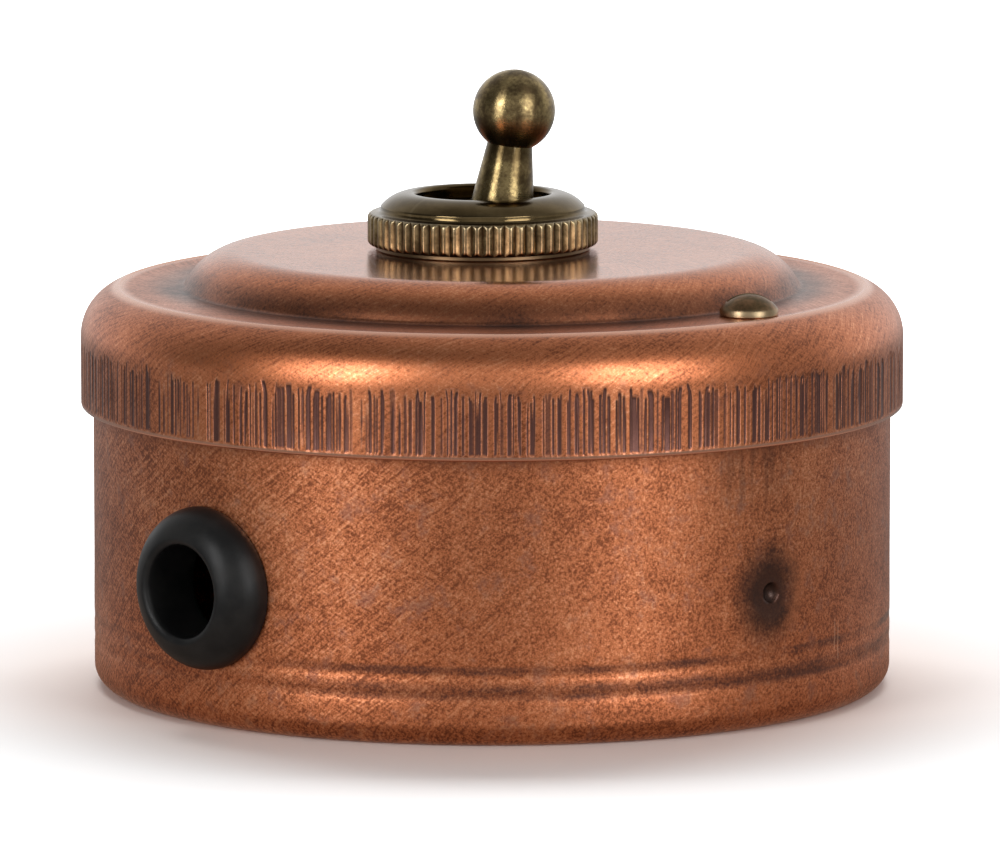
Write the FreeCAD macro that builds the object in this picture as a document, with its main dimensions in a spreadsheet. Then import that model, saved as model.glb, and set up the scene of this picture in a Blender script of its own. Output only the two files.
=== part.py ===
import FreeCAD, Part
import Sketcher
import os
import re

# Driving sizes of the switch, in millimetres and degrees.
SIZES = {
    # Spun cup that is screwed to the wall
    "base_radius": 38.8,
    "base_wall": 0.9,
    "base_corner": 2.2,
    "base_height": 35.5,
    "groove_height": 4.8,
    "groove_pitch": 2.1,
    "groove_width": 1.2,
    "groove_depth": 0.15,
    "wall_hole_spacing": 50.8,
    "wall_hole_radius": 2.25,
    # Spun cover that slips over the rim of the cup
    "cover_wall": 0.9,
    "cover_gap": 0.3,
    "cover_overlap": 8.1,
    "skirt_height": 6.85,
    "skirt_edge": 0.3,
    "shoulder_radius": 4.95,
    "lip_angle": 75.0,
    "lip_run": 0.2,
    "lip_drop": 0.1,
    "rim_width": 4.7,
    "dome_radius": 5.75,
    "dome_angle": 64.0,
    "foot_fillet": 0.6,
    # Cover screw and the folded lug that it enters
    "screw_azimuth": 47.4,
    "screw_radius": 1.5,
    "screw_length": 8.0,
    "head_radius": 2.8,
    "head_height": 2.1,
    "head_gap": 0.05,
    "slot_width": 0.8,
    "slot_depth": 0.8,
    "slot_turn": 4.0,
    "edge_share": 0.3,
    "point_share": 0.3,
    "hole_gap": 0.2,
    "thread_gap": 0.05,
    "lug_wall": 1.2,
    "lug_bend": 3.0,
    "lug_spread": 18.0,
    "lug_foot": 8.0,
    "ear_reach": 4.0,
    "weld_azimuth": 43.2,
    "weld_height": 13.15,
    "weld_radius": 2.4,
    "weld_depth": 0.15,
    "pit_radius": 1.0,
    "pit_depth": 0.6,
    # Rubber grommet for the cable
    "grommet_azimuth": -44.5,
    "grommet_height": 13.55,
    "grommet_bore": 4.5,
    "grommet_neck": 6.0,
    "grommet_flange": 7.8,
    "grommet_crown": 3.5,
    "crest_inset": 2.7,
    "crown_round": 3.5,
    "lip_edge": 0.5,
    "mouth_drop": 0.3,
    "grommet_back": 2.0,
    "seat_gap": 0.05,
    # Threaded neck, washer and knurled ring nut
    "switch_offset": -0.9,
    "neck_radius": 8.0,
    "neck_wall": 1.4,
    "neck_hole_gap": 0.25,
    "flange_width": 1.8,
    "flange_thickness": 1.2,
    "spigot_step": 0.6,
    "washer_radius": 10.4,
    "washer_thickness": 0.5,
    "ring_radius": 11.2,
    "ring_height": 5.05,
    "ring_lip": 1.3,
    "ring_opening": 6.5,
    "ring_step": 1.3,
    "ring_step_rise": 0.3,
    "ring_chamfer": 0.45,
    "bead_edge": 0.35,
    "bead_flat": 0.6,
    "bead_round": 0.45,
    "neck_end_gap": 0.3,
    "knurl_height": 3.1,
    "knurl_depth": 0.3,
    "knurl_gap": 0.84,
    "knurl_count": 64,
    # Dolly on its pivot pin
    "pivot_depth": 11.2,
    "rest_tilt": 7.0,
    "ball_radius": 4.0,
    "ball_height": 24.9,
    "stem_top": 2.2,
    "stem_taper": 8.5,
    "stem_foot": 11.0,
    "stem_chamfer": 0.8,
    "shank_radius": 3.0,
    "boss_radius": 4.2,
    "boss_width": 7.6,
    "tail_length": 7.2,
    "tail_radius": 3.2,
    "tail_bore": 2.1,
    "tail_web": 0.7,
    "tail_chamfer": 0.4,
    "pin_radius": 1.25,
    "pin_gap": 0.05,
    "pin_proud": 0.2,
    # Sprung plunger
    "plunger_gap": 0.1,
    "plunger_top": 4.9,
    "nose_reach": 11.5,
    "wire_radius": 0.2,
    "spring_gap": 0.15,
    "spring_turns": 3.5,
    # Rocking contact bar
    "nose_gap": 0.1,
    "rocker_tilt": 8.0,
    "rocker_wall": 1.2,
    "rocker_lift": 0.6,
    "rocker_width": 6.0,
    "rocker_end": 0.6,
    "hub_radius": 1.8,
    "fulcrum_radius": 0.8,
    "fulcrum_gap": 0.05,
    "contact_reach": 7.0,
    "contact_radius": 1.4,
    "contact_height": 0.6,
    "contact_gap": 0.3,
    # Moulded body, yoke and terminals
    "yoke_wall": 1.2,
    "yoke_bend": 0.5,
    "yoke_corner": 2.0,
    "ear_width": 12.0,
    "ear_drop": 3.2,
    "body_end_margin": 5.0,
    "body_side_margin": 1.0,
    "body_wall": 1.5,
    "body_corner": 1.0,
    "slot_gap": 0.4,
    "slot_room": 3.3,
    "cavity_room": 2.0,
    "cavity_height": 10.5,
    "recess_gap": 0.2,
    "rivet_inset_end": 2.8,
    "rivet_inset_side": 2.0,
    "rivet_radius": 1.0,
    "rivet_head_radius": 1.7,
    "rivet_head_height": 0.7,
    "terminal_thickness": 5.5,
    "tongue_wall": 0.8,
    "tongue_width": 7.0,
    "block_length": 4.0,
    "block_width": 5.0,
    "block_gap": 0.1,
    "wire_hole": 1.4,
    "wire_entry": 1.7,
    "clamp_radius": 1.25,
    "clamp_length": 2.8,
    "clamp_head_radius": 2.1,
    "clamp_head_height": 1.5,
    # Earth terminal on the floor of the cup
    "earth_inset": 11.0,
    "earth_radius": 3.2,
    "earth_height": 7.0,
    "earth_spigot": 1.6,
    "earth_screw_radius": 1.75,
    "earth_screw_length": 3.4,
    "earth_head_radius": 3.0,
    "earth_head_height": 1.9,
    "earth_wire_height": 3.6,
}

# Places that follow from the sizes above.
PLACES = {
    "cup_inside": "base_radius - base_wall",
    "skirt_foot": "base_height - cover_overlap",
    "cover_radius": "base_radius + cover_gap + cover_wall",
    "shoulder_foot": "skirt_foot + skirt_height",
    "shoulder_middle": "cover_radius - shoulder_radius",
    "lip_radius": "shoulder_middle + shoulder_radius * cos(lip_angle)",
    "lip_height": "shoulder_foot + shoulder_radius * sin(lip_angle)",
    "rim_top": "lip_height - lip_drop",
    "rim_under": "rim_top - cover_wall",
    "under_round": "shoulder_radius - cover_wall",
    "under_lip": "shoulder_middle + under_round * cos(lip_angle)",
    "disc_radius": "shoulder_middle - rim_width",
    "screw_circle": "disc_radius + head_radius + head_gap",
    "screw_x": "screw_circle * sin(screw_azimuth)",
    "screw_y": "-(screw_circle * cos(screw_azimuth))",
    "disc_edge": "disc_radius - (dome_radius + foot_fillet) * sin(dome_angle)",
    "cover_top": "rim_top + (dome_radius + foot_fillet) * (1 - cos(dome_angle))",
    "cover_under": "cover_top - cover_wall",
    "crest_radius": "grommet_flange - crest_inset",
    "mouth_edge": "base_radius + grommet_crown - mouth_drop",
    "neck_bore": "neck_radius - neck_wall",
    "spigot_radius": "neck_radius - spigot_step",
    "ring_foot": "cover_top + washer_thickness",
    "bead_radius": "ring_radius - ring_step",
    "bead_foot": "knurl_height + ring_step_rise",
    "neck_top": "ring_foot + ring_height - ring_lip - neck_end_gap",
    "plate_top": "cover_under - flange_thickness",
    "body_top": "plate_top - yoke_wall",
    "body_end": "neck_radius + body_end_margin",
    "body_side": "neck_radius + body_side_margin",
    "cavity_end": "body_end - body_wall",
    "cavity_side": "rocker_width / 2 + cavity_room",
    "pivot_height": "cover_top - pivot_depth",
    "stem_join": "ball_height - sqrt(ball_radius^2 - stem_top^2)",
    "stem_wide": "stem_top + (stem_join - stem_foot) * tan(stem_taper)",
    "tail_bore_end": "pin_radius + pin_gap + tail_web",
    "plunger_radius": "tail_bore - plunger_gap",
    "fulcrum_height": "pivot_height - nose_reach - nose_gap - rocker_wall - rocker_lift",
    "fixed_top": "fulcrum_height - contact_reach * sin(rocker_tilt) - contact_gap",
    "tongue_top": "fixed_top - contact_height",
    "deck": "tongue_top - tongue_wall",
    "terminal_foot": "deck - terminal_thickness",
    "tongue_end": "cavity_end - block_gap",
    "clamp_place": "tongue_end - block_length / 2",
    "rivet_end": "body_end - rivet_inset_end",
    "rivet_side": "body_side - rivet_inset_side",
    "earth_place": "cup_inside - earth_inset",
}

doc = FreeCAD.newDocument("RoundSwitch")
sheet = doc.addObject("Spreadsheet::Sheet", "Sizes")
for row, (alias, number) in enumerate(SIZES.items(), start=1):
    sheet.set(f"A{row}", alias)
    sheet.set(f"B{row}", str(number))
    sheet.setAlias(f"B{row}", alias)
doc.recompute()

nodes = []


def bound(text):
    """Write a formula out as an expression on the cells of the sheet."""

    def spell(word):
        name = word.group(0)
        if name in PLACES:
            return "(" + bound(PLACES[name]) + ")"
        return "Sizes." + name if name in SIZES else name

    return re.sub(r"[a-z_]+", spell, text)


def amount(text):
    """Present value of a formula."""
    return float(sheet.evalExpression(bound(text)))


def node(item, label):
    """Name a finished sub-part and keep it for export."""
    item.Label = label
    nodes.append(item)
    return item


def place(item, x="0", y="0", z="0", axis=(0, 0, 1), angle="0"):
    """Put a sub-part in the shared frame, turned about one axis."""
    item.Placement = FreeCAD.Placement(
        FreeCAD.Vector(amount(x), amount(y), amount(z)),
        FreeCAD.Rotation(FreeCAD.Vector(*axis), amount(angle)),
    )
    for letter, text in zip("xyz", (x, y, z)):
        item.setExpression(f"Placement.Base.{letter}", bound(text))
    item.setExpression("Placement.Rotation.Angle", bound(angle))


def new_body():
    return doc.addObject("PartDesign::Body", "Body")


def sketch_on(body, role, lift="0", turn="0"):
    """Sketch on an origin plane of the body, lifted off it or turned about its upright."""
    plane = next(item for item in body.Origin.OriginFeatures if item.Role == role)
    sketch = body.newObject("Sketcher::SketchObject", "Sketch")
    sketch.AttachmentSupport = [(plane, "")]
    sketch.MapMode = "FlatFace"
    sketch.AttachmentOffset = FreeCAD.Placement(
        FreeCAD.Vector(0, 0, amount(lift)),
        FreeCAD.Rotation(FreeCAD.Vector(0, 1, 0), amount(turn)),
    )
    sketch.setExpression("AttachmentOffset.Base.z", bound(lift))
    sketch.setExpression("AttachmentOffset.Rotation.Angle", bound(turn))
    return sketch


def fix_point(sketch, item, corner, x, y):
    """Dimension one point of a sketch from the origin."""
    for kind, text in (("DistanceX", x), ("DistanceY", y)):
        index = sketch.addConstraint(Sketcher.Constraint(kind, -1, 1, item, corner, amount(text)))
        sketch.setExpression(f"Constraints[{index}]", bound(text))


def outline(sketch, *corners):
    """Closed outline: each corner is (x, y), or (x, y, radius, turn) when an arc leads to it.

    turn is +1 for an arc that runs counter-clockwise and -1 for a clockwise one.
    """
    spots = [FreeCAD.Vector(amount(corner[0]), amount(corner[1]), 0) for corner in corners]
    first = sketch.GeometryCount
    for index, corner in enumerate(corners):
        start = spots[index - 1]
        end = spots[index]
        if len(corner) == 2:
            sketch.addGeometry(Part.LineSegment(start, end), False)
            continue
        radius = amount(corner[2])
        chord = end - start
        side = FreeCAD.Vector(-chord.y, chord.x, 0).normalize() * corner[3]
        middle = (start + end) / 2
        height = max(radius**2 - chord.Length**2 / 4, 0.0) ** 0.5
        crown = middle + side * (height - radius)
        sketch.addGeometry(Part.Arc(start, crown, end), False)
    # An arc is stored counter-clockwise, so a clockwise one starts at its far end.
    ends = []
    for corner in corners:
        clockwise = len(corner) == 4 and corner[3] < 0
        ends.append((2, 1) if clockwise else (1, 2))
    count = len(corners)
    for index, corner in enumerate(corners):
        item = first + index
        after = (index + 1) % count
        sketch.addConstraint(
            Sketcher.Constraint("Coincident", item, ends[index][1], first + after, ends[after][0])
        )
        fix_point(sketch, item, ends[index][1], corner[0], corner[1])
        if len(corner) == 4:
            number = sketch.addConstraint(Sketcher.Constraint("Radius", item, amount(corner[2])))
            sketch.setExpression(f"Constraints[{number}]", bound(corner[2]))


def rectangle(sketch, left, right, low, high):
    outline(sketch, (right, low), (right, high), (left, high), (left, low))


def rounded_plate(sketch, end, side, corner):
    """Rectangle about the origin with rounded corners."""
    outline(
        sketch,
        (f"{end} - {corner}", f"-({side})"),
        (end, f"{corner} - ({side})", corner, 1),
        (end, f"{side} - {corner}"),
        (f"{end} - {corner}", side, corner, 1),
        (f"{corner} - ({end})", side),
        (f"-({end})", f"{side} - {corner}", corner, 1),
        (f"-({end})", f"{corner} - ({side})"),
        (f"{corner} - ({end})", f"-({side})", corner, 1),
    )


def circle(sketch, x, y, radius):
    centre = FreeCAD.Vector(amount(x), amount(y), 0)
    item = sketch.addGeometry(Part.Circle(centre, FreeCAD.Vector(0, 0, 1), amount(radius)), False)
    fix_point(sketch, item, 3, x, y)
    number = sketch.addConstraint(Sketcher.Constraint("Radius", item, amount(radius)))
    sketch.setExpression(f"Constraints[{number}]", bound(radius))


def spin(body, sketch, angle="360", both_ways=False):
    """Revolve a profile about the upright axis of its sketch."""
    feature = body.newObject("PartDesign::Revolution", "Revolution")
    feature.Profile = sketch
    feature.ReferenceAxis = (sketch, ["V_Axis"])
    feature.Midplane = both_ways
    feature.setExpression("Angle", bound(angle))
    doc.recompute()
    return feature


def extrude(body, kind, sketch, length, reverse=False, both_ways=False):
    """Pad or pocket a sketch; a pocket has to take material away."""
    before = body.Shape.Volume if kind == "Pocket" else 0.0
    feature = body.newObject(f"PartDesign::{kind}", kind)
    feature.Profile = sketch
    feature.Reversed = reverse
    feature.Midplane = both_ways
    feature.setExpression("Length", bound(length))
    doc.recompute()
    if kind == "Pocket" and body.Shape.Volume > before - 1e-6:
        raise RuntimeError(f"{sketch.Name} cuts nothing")
    return feature


def around(body, features, count):
    """Repeat features round the upright axis of the body."""
    axis = next(item for item in body.Origin.OriginFeatures if item.Role == "Z_Axis")
    pattern = body.newObject("PartDesign::PolarPattern", "PolarPattern")
    pattern.Originals = features
    pattern.Axis = (axis, [""])
    pattern.Angle = 360
    pattern.setExpression("Occurrences", bound(count))
    body.Tip = pattern
    doc.recompute()


def group(items, label):
    """Like pieces that make one sub-part together."""
    compound = doc.addObject("Part::Compound", "Compound")
    compound.Links = items
    return node(compound, label)


def round_screw(radius, length, head_radius, head_height):
    """Slotted round-head screw with its seat at the origin and its shank pointing down."""
    body = new_body()
    profile = sketch_on(body, "XZ_Plane")
    rise = f"({head_height} * (1 - edge_share))"
    dome = f"(({head_radius})^2 + {rise}^2) / (2 * {rise})"
    outline(
        profile,
        ("0", f"-{length}"),
        (f"{radius} * (1 - point_share)", f"-{length}"),
        (radius, f"{radius} * point_share - {length}"),
        (radius, "0"),
        (head_radius, "0"),
        (head_radius, f"{head_height} * edge_share"),
        ("0", head_height, dome, 1),
    )
    spin(body, profile)
    slot = sketch_on(body, "XY_Plane", lift=head_height)
    rectangle(slot, f"-{head_radius}", head_radius, "-slot_width / 2", "slot_width / 2")
    extrude(body, "Pocket", slot, "slot_depth")
    return body


# Cup: spun wall and floor, with two shallow grooves rolled in above the corner.
cup = node(new_body(), "base_box")
profile = sketch_on(cup, "XZ_Plane")
groove_radius = "(groove_width^2 / 4 + groove_depth^2) / (2 * groove_depth)"
outline(
    profile,
    ("base_radius - base_corner", "0"),
    ("base_radius", "base_corner", "base_corner", 1),
    ("base_radius", "groove_height - groove_width / 2"),
    ("base_radius", "groove_height + groove_width / 2", groove_radius, -1),
    ("base_radius", "groove_height + groove_pitch - groove_width / 2"),
    ("base_radius", "groove_height + groove_pitch + groove_width / 2", groove_radius, -1),
    ("base_radius", "base_height"),
    ("cup_inside", "base_height"),
    ("cup_inside", "base_corner"),
    ("base_radius - base_corner", "base_wall", "base_corner - base_wall", -1),
    ("0", "base_wall"),
    ("0", "0"),
)
spin(cup, profile)
cable_hole = sketch_on(cup, "XZ_Plane", turn="grommet_azimuth")
circle(cable_hole, "0", "grommet_height", "grommet_neck + seat_gap")
extrude(cup, "Pocket", cable_hole, "base_radius + base_wall", reverse=True)
floor_holes = sketch_on(cup, "XY_Plane")
circle(floor_holes, "-wall_hole_spacing / 2", "0", "wall_hole_radius")
circle(floor_holes, "wall_hole_spacing / 2", "0", "wall_hole_radius")
circle(floor_holes, "0", "earth_place", "earth_spigot + seat_gap")
extrude(cup, "Pocket", floor_holes, "base_wall", reverse=True)

# Mark of the weld that holds the lug: a shallow dish with a pit in it.
for across, deep, sunk in (
    ("weld_radius", "weld_depth", "weld_depth"),
    ("pit_radius", "pit_depth", "weld_depth + pit_depth"),
):
    ball = f"({across}^2 + {deep}^2) / (2 * {deep})"
    reach = f"(base_radius - ({sunk}) + {ball})"
    mark = cup.newObject("PartDesign::SubtractiveSphere", "Mark")
    mark.AttachmentSupport = profile.AttachmentSupport
    mark.MapMode = "FlatFace"
    mark.setExpression("Radius", bound(ball))
    mark.setExpression("AttachmentOffset.Base.x", bound(f"{reach} * sin(weld_azimuth)"))
    mark.setExpression("AttachmentOffset.Base.y", bound("weld_height"))
    mark.setExpression("AttachmentOffset.Base.z", bound(f"{reach} * cos(weld_azimuth)"))
    doc.recompute()

# Cover: one sheet spun to a skirt, a round shoulder, a rim set just below its lip and a raised disc.
cover = node(new_body(), "cover")
profile = sketch_on(cover, "XZ_Plane")
outline(
    profile,
    ("cover_radius - cover_wall", "skirt_foot"),
    ("cover_radius - skirt_edge", "skirt_foot"),
    ("cover_radius", "skirt_foot + skirt_edge", "skirt_edge", 1),
    ("cover_radius", "shoulder_foot"),
    ("lip_radius", "lip_height", "shoulder_radius", 1),
    ("lip_radius - lip_run", "rim_top"),
    ("disc_radius", "rim_top"),
    (
        "disc_radius - foot_fillet * sin(dome_angle)",
        "rim_top + foot_fillet * (1 - cos(dome_angle))",
        "foot_fillet",
        -1,
    ),
    ("disc_edge", "cover_top", "dome_radius", 1),
    ("0", "cover_top"),
    ("0", "cover_under"),
    ("disc_edge", "cover_under"),
    (
        "disc_edge + (dome_radius - cover_wall) * sin(dome_angle)",
        "cover_under - (dome_radius - cover_wall) * (1 - cos(dome_angle))",
        "dome_radius - cover_wall",
        -1,
    ),
    ("disc_radius", "rim_under", "foot_fillet + cover_wall", 1),
    ("under_lip - lip_run", "rim_under"),
    ("under_lip", "shoulder_foot + under_round * sin(lip_angle)"),
    ("cover_radius - cover_wall", "shoulder_foot", "under_round", -1),
)
spin(cover, profile)
cover_holes = sketch_on(cover, "XY_Plane")
circle(cover_holes, "switch_offset", "0", "neck_radius + neck_hole_gap")
circle(cover_holes, "screw_x", "screw_y", "screw_radius + hole_gap")
extrude(cover, "Pocket", cover_holes, "cover_top", reverse=True)

# Lug: strip folded over at the top, welded to the wall and tapped for the cover screw.
lug = node(new_body(), "cover_lug_front")
profile = sketch_on(lug, "XZ_Plane")
back = "cup_inside - seat_gap"
outline(
    profile,
    (f"{back} - lug_wall", "lug_foot"),
    (back, "lug_foot"),
    (back, "rim_under - lug_bend"),
    (f"{back} - lug_bend", "rim_under", "lug_bend", 1),
    ("screw_circle - ear_reach", "rim_under"),
    ("screw_circle - ear_reach", "rim_under - lug_wall"),
    (f"{back} - lug_bend", "rim_under - lug_wall"),
    (f"{back} - lug_wall", "rim_under - lug_bend", "lug_bend - lug_wall", -1),
)
spin(lug, profile, "lug_spread", both_ways=True)
tapped = sketch_on(lug, "XY_Plane", lift="rim_under")
circle(tapped, "screw_circle", "0", "screw_radius + thread_gap")
extrude(lug, "Pocket", tapped, "2 * lug_wall")
place(lug, angle="screw_azimuth - 90")
screw = node(round_screw("screw_radius", "screw_length", "head_radius", "head_height"), "cover_screws")
place(screw, x="screw_x", y="screw_y", z="rim_top", angle="slot_turn")

# Grommet: crowned lip outside, flat lip inside, and a neck through the wall of the cup.
lips = doc.addObject("Part::Revolution", "Lips")
lip_profile = doc.addObject("Sketcher::SketchObject", "LipProfile")
inner_run = "(crest_radius - grommet_bore)"
outline(
    lip_profile,
    ("grommet_bore", "cup_inside - grommet_back - seat_gap"),
    ("grommet_flange", "cup_inside - grommet_back - seat_gap"),
    ("grommet_flange", "base_radius + lip_edge"),
    ("crest_radius", "base_radius + grommet_crown", "crown_round", 1),
    ("grommet_bore", "mouth_edge", f"({inner_run}^2 + mouth_drop^2) / (2 * mouth_drop)", 1),
)
lips.Source = lip_profile
lips.Axis = FreeCAD.Vector(0, 1, 0)
lips.Angle = 360
lips.Solid = True
wall_round = doc.addObject("Part::Cylinder", "WallRound")
wall_round.setExpression("Radius", bound("base_radius + seat_gap"))
wall_round.setExpression("Height", bound("4 * grommet_flange"))
wall_inside = doc.addObject("Part::Cylinder", "WallInside")
wall_inside.setExpression("Radius", bound("cup_inside - seat_gap"))
wall_inside.setExpression("Height", bound("4 * grommet_flange"))
for drum in (wall_round, wall_inside):
    place(drum, z="-2 * grommet_flange")
wall_sheet = doc.addObject("Part::Cut", "WallSheet")
wall_sheet.Base = wall_round
wall_sheet.Tool = wall_inside
place(lips, angle="180")
two_lips = doc.addObject("Part::Cut", "TwoLips")
two_lips.Base = lips
two_lips.Tool = wall_sheet
sleeve_profile = doc.addObject("Sketcher::SketchObject", "SleeveProfile")
rectangle(
    sleeve_profile,
    "grommet_bore",
    "grommet_neck",
    "cup_inside - grommet_back - seat_gap",
    "mouth_edge",
)
sleeve = doc.addObject("Part::Revolution", "Sleeve")
sleeve.Source = sleeve_profile
sleeve.Axis = FreeCAD.Vector(0, 1, 0)
sleeve.Angle = 360
sleeve.Solid = True
place(sleeve, angle="180")
grommet = node(doc.addObject("Part::Fuse", "Grommet"), "cable_grommet")
grommet.Base = two_lips
grommet.Tool = sleeve
grommet.Refine = True
place(grommet, z="grommet_height", angle="grommet_azimuth")

# Neck: turned bush with a flange under the cover and a spigot in the yoke.
neck = node(new_body(), "neck_bush")
profile = sketch_on(neck, "XZ_Plane")
outline(
    profile,
    ("neck_bore", "body_top"),
    ("spigot_radius", "body_top"),
    ("spigot_radius", "plate_top"),
    ("neck_radius + flange_width", "plate_top"),
    ("neck_radius + flange_width", "cover_under"),
    ("neck_radius", "cover_under"),
    ("neck_radius", "neck_top - neck_end_gap"),
    ("neck_radius - neck_end_gap", "neck_top"),
    ("neck_bore", "neck_top"),
)
spin(neck, profile)
place(neck, x="switch_offset")

washer = node(new_body(), "seat_washer")
profile = sketch_on(washer, "XZ_Plane")
rectangle(profile, "neck_radius + neck_hole_gap", "washer_radius", "cover_top", "ring_foot")
spin(washer, profile)
place(washer, x="switch_offset")

# Ring nut: knurled band, stepped bead and a lip that closes over the end of the neck.
ring = node(new_body(), "ring_nut")
profile = sketch_on(ring, "XZ_Plane")
bead_rise = "(ring_height - bead_foot - bead_edge)"
bead_run = "(bead_radius - ring_opening - bead_flat)"
outline(
    profile,
    ("neck_radius + thread_gap", "0"),
    ("ring_radius - ring_chamfer", "0"),
    ("ring_radius", "ring_chamfer"),
    ("ring_radius", "knurl_height - ring_chamfer"),
    ("ring_radius - ring_chamfer", "knurl_height"),
    ("bead_radius", "bead_foot"),
    ("bead_radius", "bead_foot + bead_edge"),
    (
        "ring_opening + bead_flat",
        "ring_height",
        f"({bead_run}^2 + {bead_rise}^2) / (2 * {bead_rise})",
        1,
    ),
    ("ring_opening + bead_round", "ring_height"),
    ("ring_opening", "ring_height - bead_round", "bead_round", 1),
    ("ring_opening", "ring_height - ring_lip"),
    ("neck_radius + thread_gap", "ring_height - ring_lip"),
)
spin(ring, profile)
flute = sketch_on(ring, "XY_Plane")
outline(
    flute,
    ("ring_radius - knurl_depth", "0"),
    ("ring_radius + knurl_depth", "-knurl_gap"),
    ("ring_radius + knurl_depth", "knurl_gap"),
)
flute_cut = extrude(ring, "Pocket", flute, "knurl_height + ring_step_rise", reverse=True)
around(ring, [flute_cut], "knurl_count")
place(ring, x="switch_offset", z="ring_foot")

# Dolly: ball, tapered stem, pivot boss and bored tail, turned in one piece about its own axis.
dolly = node(new_body(), "dolly_lever")
profile = sketch_on(dolly, "XZ_Plane")
outline(
    profile,
    ("tail_bore", "-tail_length"),
    ("tail_radius - tail_chamfer", "-tail_length"),
    ("tail_radius", "tail_chamfer - tail_length"),
    ("tail_radius", "-sqrt(boss_radius^2 - tail_radius^2)"),
    ("shank_radius", "sqrt(boss_radius^2 - shank_radius^2)", "boss_radius", 1),
    ("shank_radius", "stem_foot - stem_chamfer"),
    ("stem_wide", "stem_foot"),
    ("stem_top", "stem_join"),
    ("0", "ball_height + ball_radius", "ball_radius", 1),
    ("0", "-tail_bore_end"),
    ("tail_bore", "-tail_bore_end"),
)
spin(dolly, profile)
flats = sketch_on(dolly, "XY_Plane")
rectangle(flats, "-boss_radius", "boss_radius", "boss_width / 2", "boss_radius")
rectangle(flats, "-boss_radius", "boss_radius", "-boss_radius", "-boss_width / 2")
extrude(dolly, "Pocket", flats, "2 * boss_radius", both_ways=True)
pin_bore = sketch_on(dolly, "XZ_Plane")
circle(pin_bore, "0", "0", "pin_radius + pin_gap")
extrude(dolly, "Pocket", pin_bore, "2 * boss_width", both_ways=True)
place(dolly, x="switch_offset", z="pivot_height", axis=(0, 1, 0), angle="rest_tilt")

pin = node(new_body(), "pivot_pin")
profile = sketch_on(pin, "XZ_Plane")
circle(profile, "0", "0", "pin_radius")
extrude(pin, "Pad", profile, "2 * (body_side + pin_proud)", both_ways=True)
place(pin, x="switch_offset", z="pivot_height")

plunger = node(new_body(), "plunger")
profile = sketch_on(plunger, "XZ_Plane")
outline(
    profile,
    ("0", "-nose_reach"),
    ("plunger_radius", "plunger_radius - nose_reach", "plunger_radius", 1),
    ("plunger_radius", "-plunger_top"),
    ("0", "-plunger_top"),
)
spin(plunger, profile)
place(plunger, x="switch_offset", z="pivot_height", axis=(0, 1, 0), angle="rest_tilt")

spring = node(new_body(), "plunger_spring")
profile = sketch_on(spring, "XZ_Plane")
circle(profile, "tail_bore - spring_gap - wire_radius", "wire_radius - plunger_top", "wire_radius")
coil = spring.newObject("PartDesign::AdditiveHelix", "Coil")
coil.Profile = profile
coil.ReferenceAxis = (profile, ["V_Axis"])
coil.Mode = "height-turns-angle"
coil.setExpression("Height", bound("plunger_top - tail_bore_end - 2 * wire_radius"))
coil.setExpression("Turns", bound("spring_turns"))
doc.recompute()
place(spring, x="switch_offset", z="pivot_height", axis=(0, 1, 0), angle="rest_tilt")

# Yoke: strip folded to a saddle, with ears that carry the pivot pin.
yoke = node(new_body(), "yoke")
plate = sketch_on(yoke, "XY_Plane", lift="body_top")
rounded_plate(plate, "body_end", "body_side", "yoke_corner")
for across in ("", "-"):
    for along in ("", "-"):
        circle(plate, f"{across}rivet_end", f"{along}rivet_side", "rivet_radius + seat_gap")
extrude(yoke, "Pad", plate, "yoke_wall")
for near, far, turn in (
    ("body_side", "body_side - yoke_wall", 1),
    ("-body_side", "yoke_wall - body_side", -1),
):
    fold = sketch_on(yoke, "YZ_Plane")
    inner = f"({far} - {turn} * yoke_bend)"
    outline(
        fold,
        (far, "pivot_height - ear_drop"),
        (near, "pivot_height - ear_drop"),
        (near, "plate_top"),
        (inner, "plate_top"),
        (inner, "body_top"),
        (far, "body_top - yoke_bend", "yoke_bend", -turn),
    )
    extrude(yoke, "Pad", fold, "ear_width", both_ways=True)
spigot_seat = sketch_on(yoke, "XY_Plane", lift="plate_top")
circle(spigot_seat, "0", "0", "spigot_radius + seat_gap")
extrude(yoke, "Pocket", spigot_seat, "2 * yoke_wall")
pin_seat = sketch_on(yoke, "XZ_Plane")
circle(pin_seat, "0", "pivot_height", "pin_radius + pin_gap")
extrude(yoke, "Pocket", pin_seat, "4 * body_side", both_ways=True)
place(yoke, x="switch_offset")

# Moulded body: open below for the rocker, slotted above for the dolly.
block = node(new_body(), "switch_body")
plan = sketch_on(block, "XY_Plane", lift="deck")
rounded_plate(plan, "body_end", "body_side", "body_corner")
for across in ("", "-"):
    for along in ("", "-"):
        circle(plan, f"{across}rivet_end", f"{along}rivet_side", "rivet_radius + seat_gap")
extrude(block, "Pad", plan, "body_top - deck")
cavity = sketch_on(block, "XY_Plane", lift="deck")
rectangle(cavity, "-cavity_end", "cavity_end", "-cavity_side", "cavity_side")
extrude(block, "Pocket", cavity, "cavity_height", reverse=True)
slot = sketch_on(block, "XY_Plane", lift="deck")
slot_end = "boss_radius + slot_room"
slot_side = "boss_width / 2 + slot_gap"
rectangle(slot, f"-({slot_end})", slot_end, f"-({slot_side})", slot_side)
extrude(block, "Pocket", slot, "body_top - deck", reverse=True)
mouth = sketch_on(block, "XY_Plane", lift="body_top")
circle(mouth, "0", "0", "neck_bore")
extrude(block, "Pocket", mouth, "body_top - pivot_height - boss_radius")
recesses = sketch_on(block, "XY_Plane", lift="body_top")
ear_end = "ear_width / 2 + recess_gap"
recess_side = "body_side - yoke_wall - yoke_bend"
rectangle(recesses, f"-({ear_end})", ear_end, recess_side, "body_side + yoke_wall")
rectangle(recesses, f"-({ear_end})", ear_end, "-(body_side + yoke_wall)", f"-({recess_side})")
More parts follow.
